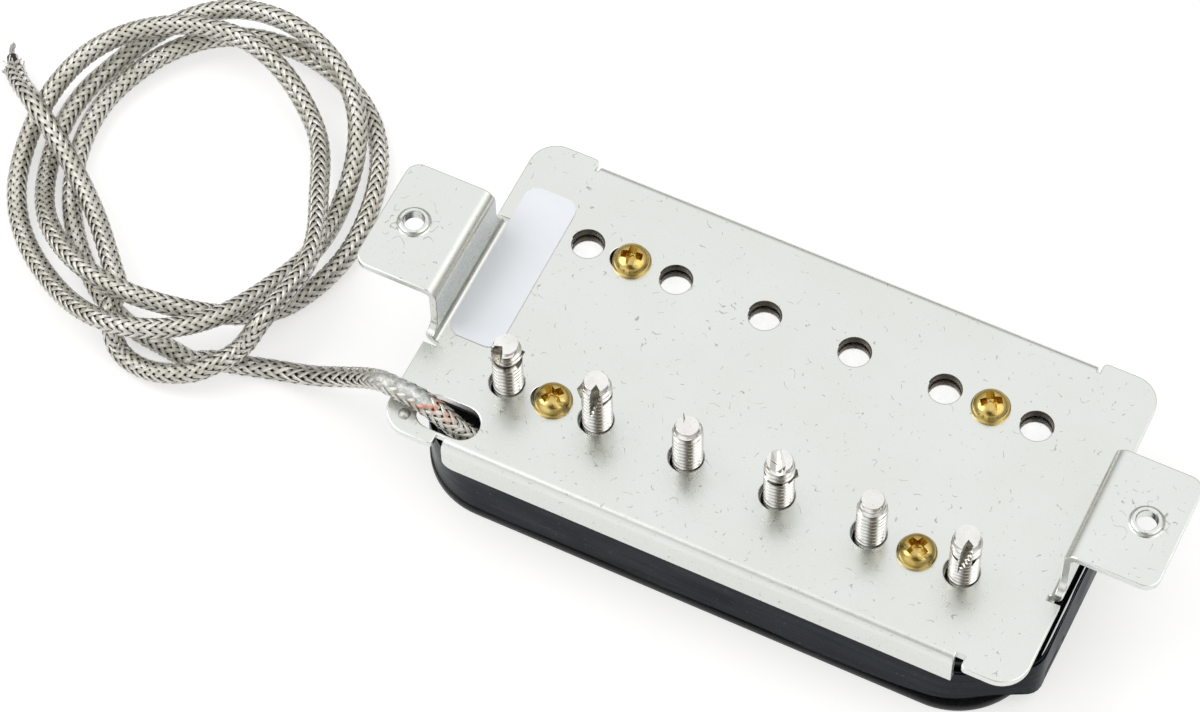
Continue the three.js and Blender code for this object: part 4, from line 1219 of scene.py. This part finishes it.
def make_slugs():
    face = []
    radius = 0.0
    while radius < 2.1:
        face.append((radius, 0.0 if len(face) % 2 else -0.007))
        radius += 0.16
    face[0] = (0, -0.004)
    bottom = [(r, 0.0 - dip) for r, dip in face]
    side = [(2.2, 0.0), (2.4, 0.22), (2.4, SLUG_TOP - 0.22), (2.2, SLUG_TOP)]
    profile = bottom + side + raised(face, SLUG_TOP)[::-1]
    for index, x in enumerate(POLE_XS):
        finished(f"slug_pole_{index + 1}", turned(profile, x, ROW_OFFSET, 40), SLUG_STEEL,
                 nodes=(f"slug_{index + 1}",), slot="dull_steel")


def as_object(name, bm):
    mesh = bpy.data.meshes.new(name)
    bm.to_mesh(mesh)
    bm.free()
    thing = bpy.data.objects.new(name, mesh)
    bpy.context.scene.collection.objects.link(thing)
    return thing


def carved(bm, cutters):
    """A bmesh with other closed bmeshes cut out of it. The cut faces keep the cutters' material numbers."""
    whole = as_object("whole", bm)
    tools = [as_object("cutter", cutter) for cutter in cutters]
    for thing in [whole] + tools:
        thing.data.materials.append(STEEL)
        thing.data.materials.append(CLIPPED)
    for tool in tools:
        cut = whole.modifiers.new("cut", "BOOLEAN")
        cut.operation = "DIFFERENCE"
        cut.solver = "EXACT"
        cut.object = tool
    graph = bpy.context.evaluated_depsgraph_get()
    mesh = bpy.data.meshes.new_from_object(whole.evaluated_get(graph))
    out = bmesh.new()
    out.from_mesh(mesh)
    bpy.data.meshes.remove(mesh)
    for thing in [whole] + tools:
        used = thing.data
        bpy.data.objects.remove(thing)
        bpy.data.meshes.remove(used)
    return out


def wedge(place, size, angle, taper=1.0):
    """A box to cut with: its middle, its sizes, its turn in degrees and how much its low end narrows."""
    part = bmesh.new()
    bmesh.ops.create_cube(part, size=1)
    for v in part.verts:
        if v.co.z < 0:
            v.co.x *= taper
            v.co.y *= taper
    turn = Matrix.Rotation(math.radians(angle), 4, "Z")
    matrix = Matrix.Translation(place) @ turn @ Matrix.Diagonal((*size, 1))
    bmesh.ops.transform(part, matrix=matrix, verts=part.verts)
    return part


THREAD_PITCH = 0.64
THREAD_DEPTH = 0.3
THREAD_CREST = 1.54
THREAD_ROWS = [(0.0, THREAD_DEPTH), (0.1, THREAD_DEPTH), (0.42, 0.0), (0.66, 0.0)]
THREAD_SIDES = 40
# How far past a groove's edges the thread is still painted dark, as the groove's painted shade.
GROOVE_SHADE = 0.13
SCREW_TIP = 20.45


def threaded_rod(x, y, low, high, taper, grooves):
    """A rod with a helical thread, cut square at both ends. taper is the tip's radius and how far down it the
    rod is full. A groove is given by its depth below the tip, its width and its radius. The "along" UV map has
    how far a place lies below the thread's crests, from 0 to 1, and 1 in and beside the grooves; the steel's
    finish paints the roots and grooves dark from it, as painted shade."""
    part = bmesh.new()
    per = len(THREAD_ROWS)
    turns = math.ceil((high - low) / THREAD_PITCH) + 2
    rows = turns * per
    layer = part.loops.layers.uv.new("along")
    bmesh.ops.create_grid(part, x_segments=rows, y_segments=THREAD_SIDES, size=1)
    thread_shade_share = {}
    for v in part.verts:
        i = round((v.co.x + 1) / 2 * rows)
        j = round((v.co.y + 1) / 2 * THREAD_SIDES)
        share, depth = THREAD_ROWS[i % per]
        z = low - THREAD_PITCH * 1.5 + THREAD_PITCH * (i // per + share + j / THREAD_SIDES)
        down = high - z
        full = min(max(down / taper[1], 0), 1)
        depth *= 0.25 + 0.75 * full
        radius = taper[0] + (THREAD_CREST - taper[0]) * full - depth
        thread_shade_share[v] = depth / THREAD_DEPTH
        for middle, width, narrow in grooves:
            if abs(down - middle) < width / 2:
                radius = min(radius, narrow)
            # Painted shade: the groove and a margin beside it are marked fully dark.
            if abs(down - middle) < width / 2 + GROOVE_SHADE:
                thread_shade_share[v] = 1
        angle = FULL * j / THREAD_SIDES
        v.co = (x + radius * math.cos(angle), y + radius * math.sin(angle), z)
    for face in part.faces:
        for loop in face.loops:
            loop[layer].uv = (thread_shade_share[loop.vert], 0)
    bmesh.ops.remove_doubles(part, verts=part.verts, dist=0.0008)
    for place, way in ((low, -1), (high, 1)):
        bmesh.ops.bisect_plane(part, geom=part.verts[:] + part.edges[:] + part.faces[:], dist=0.0001,
                               plane_co=(0, 0, place), plane_no=(0, 0, way), clear_outer=True)
    ends = bmesh.ops.holes_fill(part, edges=[e for e in part.edges if e.is_boundary], sides=0)
    for face in ends["faces"]:
        for loop in face.loops:
            loop[layer].uv = (0, 0)
    bmesh.ops.recalc_face_normals(part, faces=part.faces)
    return part


ROUGH, BRIGHT, HALF_BRIGHT = "rough", "bright", "half bright"

# Each pole's tip: its height above the usual tip, its taper, its grooves, the chips clipped out of it and the
# burrs left standing. Chips and burrs are hulls of corners. A corner is given by how far it is to the right,
# toward the front and down from the tip.
TIPS = [
    (0.5, (1.2, 1.0), [(2.35, 0.6, 1.12)],
     [(ROUGH, [(-0.3, 0.2, -0.3), (-1.9, 0.0, -0.3), (-0.3, 2, -0.3), (-1.9, 2, -0.3),
               (-0.6, 0.3, 1.4), (-0.8, 1.9, 2.1), (-1.9, 0.0, 1.9), (-1.9, 1.9, 2.3)])],
     [(ROUGH, [(1.1, 0.1, 0.9), (1.85, -0.05, 1.6), (1.3, 0.7, 1.3), (1.3, 0.3, 2.7), (1.2, -0.4, 1.4)])]),
    (0.7, (1.2, 1.2), [],
     [(HALF_BRIGHT, [(0.0, 0.35, -0.3), (-0.95, 1.6, -0.3), (0.75, 2, -0.3), (-0.75, 1.25, 5.0),
                     (-0.35, 2, 5.0), (-0.2, 1.0, 2.2)]),
      (ROUGH, [(0.45, 1.1, 2.3), (1.25, 0.0, 1.5), (1.9, 0.0, 1.5), (0.7, 2, 2.3),
               (0.45, 1.1, 2.9), (1.25, 0.0, 2.2), (1.9, 0.0, 2.2), (0.7, 2, 2.9)])],
     [(ROUGH, [(-1.2, -0.3, 0.4), (-1.95, 0.0, 1.5), (-1.2, 0.6, 0.5), (-1.6, 0.3, 2.9),
               (-1.4, -0.3, 2.6)])]),
    (-0.55, (1.15, 1.2), [], [],
     [(ROUGH, [(-0.42, -0.7, 0.1), (-0.22, -0.7, 0.1), (-0.32, -0.5, 0.1), (-0.42, -0.75, -0.95),
               (-0.36, -0.8, -1.0)])]),
    (0.0, (1.3, 1.2), [(2.15, 0.36, 1.14)],
     [(BRIGHT, [(-0.95, -2, -0.2), (0.0, -2, 0.3), (0.15, -2, -0.2),
                (-1.5, 2, -0.2), (0.35, 2, 1.0), (0.8, 2, -0.2)]),
      (ROUGH, [(-1.2, -0.1, -0.2), (-0.3, 0.2, -0.2), (0.0, 0.5, -0.2), (-0.4, 0.1, 0.45), (0.05, 0.5, 0.6)]),
      (ROUGH, [(0.1, 0.3, -0.2), (0.55, 0.55, -0.2), (0.3, 1.1, -0.2), (0.2, 0.45, 0.75), (0.4, 0.9, 0.8)])],
     [(ROUGH, [(1.1, 0.3, 1.2), (1.7, 0.1, 1.7), (1.85, 0.3, 2.8), (1.2, 0.8, 2.5), (1.2, -0.3, 2.0)])]),
    (0.0, (1.12, 1.9), [], [], []),
    (0.4, (1.22, 1.3), [],
     [(HALF_BRIGHT, [(0.1, 0.35, -0.3), (-0.85, 1.6, -0.3), (1.0, 1.8, -0.3), (0.3, 1.9, 2.4),
                     (-0.75, 1.1, 4.9), (-0.9, 1.6, 4.9), (-0.1, 0.9, 2.0)]),
      (ROUGH, [(0.4, 1.15, 2.6), (1.25, 0.0, 2.0), (1.9, 0.0, 2.0), (0.6, 2, 2.6),
               (0.4, 1.15, 3.4), (1.25, 0.0, 2.7), (1.9, 0.0, 2.7), (0.6, 2, 3.4)]),
      (ROUGH, [(-1.25, -0.1, 2.2), (-0.8, 1.0, 2.2), (-1.1, 1.9, 2.2), (-2, 0, 2.2),
               (-1.25, -0.1, 2.8), (-0.8, 1.0, 2.8), (-1.1, 1.9, 2.8), (-2, 0, 2.8)])],
     []),
]


def chip(x, y, tip, finish, corners):
    """A small solid with the given corners, beside a pole's tip. Rough faces have the second material. A half
    bright one has the second, dark material on its faces turned to the left only."""
    part = bmesh.new()
    level = Vector((math.cos(CAMERA_AZIMUTH), math.sin(CAMERA_AZIMUTH), 0))
    for right, front, down in corners:
        part.verts.new(Vector((x, y, tip - down)) + level * right + Vector((level.y, -level.x, 0)) * front)
    bmesh.ops.convex_hull(part, input=part.verts)
    bmesh.ops.recalc_face_normals(part, faces=part.faces)
    for face in part.faces:
        rough = finish == ROUGH or finish == HALF_BRIGHT and face.normal.dot(level) < 0
        face.material_index = 1 if rough else 0
    return part


HEAD_PROFILE = [
    (0, 0.2), (2.0, 0.2), (2.2, 0.27), (2.32, 0.45), (2.35, 0.62), (2.35, 2.1), (2.25, 2.2), (0, 2.2),
]


def make_pole_screws():
    for index, x in enumerate(POLE_XS):
        rise, taper, grooves, chips, burrs = TIPS[index]
        y = -ROW_OFFSET
        tip = SCREW_TIP + rise
        rod = threaded_rod(x, y, 2.1, tip, taper, grooves)
        if chips:
            rod = carved(rod, [chip(x, y, tip, *one) for one in chips])
        slot = wedge((x, y, 0.5), (0.8, 6.0, 1.0), 17 + 41 * index)
        pour(rod, carved(turned(HEAD_PROFILE, x, y), [slot]))
        for one in burrs:
            pour(rod, chip(x, y, tip, *one))
        pole = finished(f"threaded_pole_{index + 1}", rod, STEEL, body=f"screw_{index + 1}",
                        nodes=(f"pole_screw_{index + 1}",), slot="bright_steel", sharp=20)
        pole.data.materials.append(CLIPPED)


BRASS_PROFILE = [
    (0, 3.5), (0.35, 3.62), (1.0, 4.3), (1.0, PLATE_TOP - 0.05), (1.99, PLATE_TOP), (2.0, PLATE_TOP + 0.05),
    (2.0, PLATE_TOP + 0.2), (1.93, PLATE_TOP + 0.27), (1.86, PLATE_TOP + 0.33), (1.84, PLATE_TOP + 0.48),
    (1.76, PLATE_TOP + 0.72), (1.6, PLATE_TOP + 0.93), (1.36, PLATE_TOP + 1.12), (1.05, PLATE_TOP + 1.25),
    (0.7, PLATE_TOP + 1.34), (0.35, PLATE_TOP + 1.385), (0, PLATE_TOP + 1.4),
]
CROSS_ANGLES = [12, 33, 52, 68]


def make_brass_screws():
    places = [(-BRASS_X, ROW_OFFSET), (BRASS_X, ROW_OFFSET), (-BRASS_X, -ROW_OFFSET), (BRASS_X, -ROW_OFFSET)]
    for index, (x, y) in enumerate(places):
        top = PLATE_TOP + 1.4
        cutters = [wedge((x, y, top - 0.2), (3.0, 1.1, 1.5), CROSS_ANGLES[index] + turn, 0.45)
                   for turn in (0, 90)]
        cutters.append(wedge((x, y, top - 0.35), (1.5, 1.5, 1.5), CROSS_ANGLES[index] + 45, 0.5))
        body = carved(turned(BRASS_PROFILE, x, y), cutters)
        finished(f"brass_screw_{index + 1}", body, BRASS, nodes=(f"bobbin_screw_{index + 1}",),
                 slot="brass", sharp=40)


# The whole scene

place_camera()
lay_floor()
light_the_room()
make_cable()
make_inner_cable()
make_inner_leads()
make_baseplate()
make_bobbin("screw_bobbin_moulding", "screw_bobbin", -ROW_OFFSET)
make_bobbin("slug_bobbin_moulding", "slug_bobbin", ROW_OFFSET)
make_outer_tape()
make_label()
make_solder_drop()
make_slugs()
make_pole_screws()
make_brass_screws()
dress_cad_nodes()
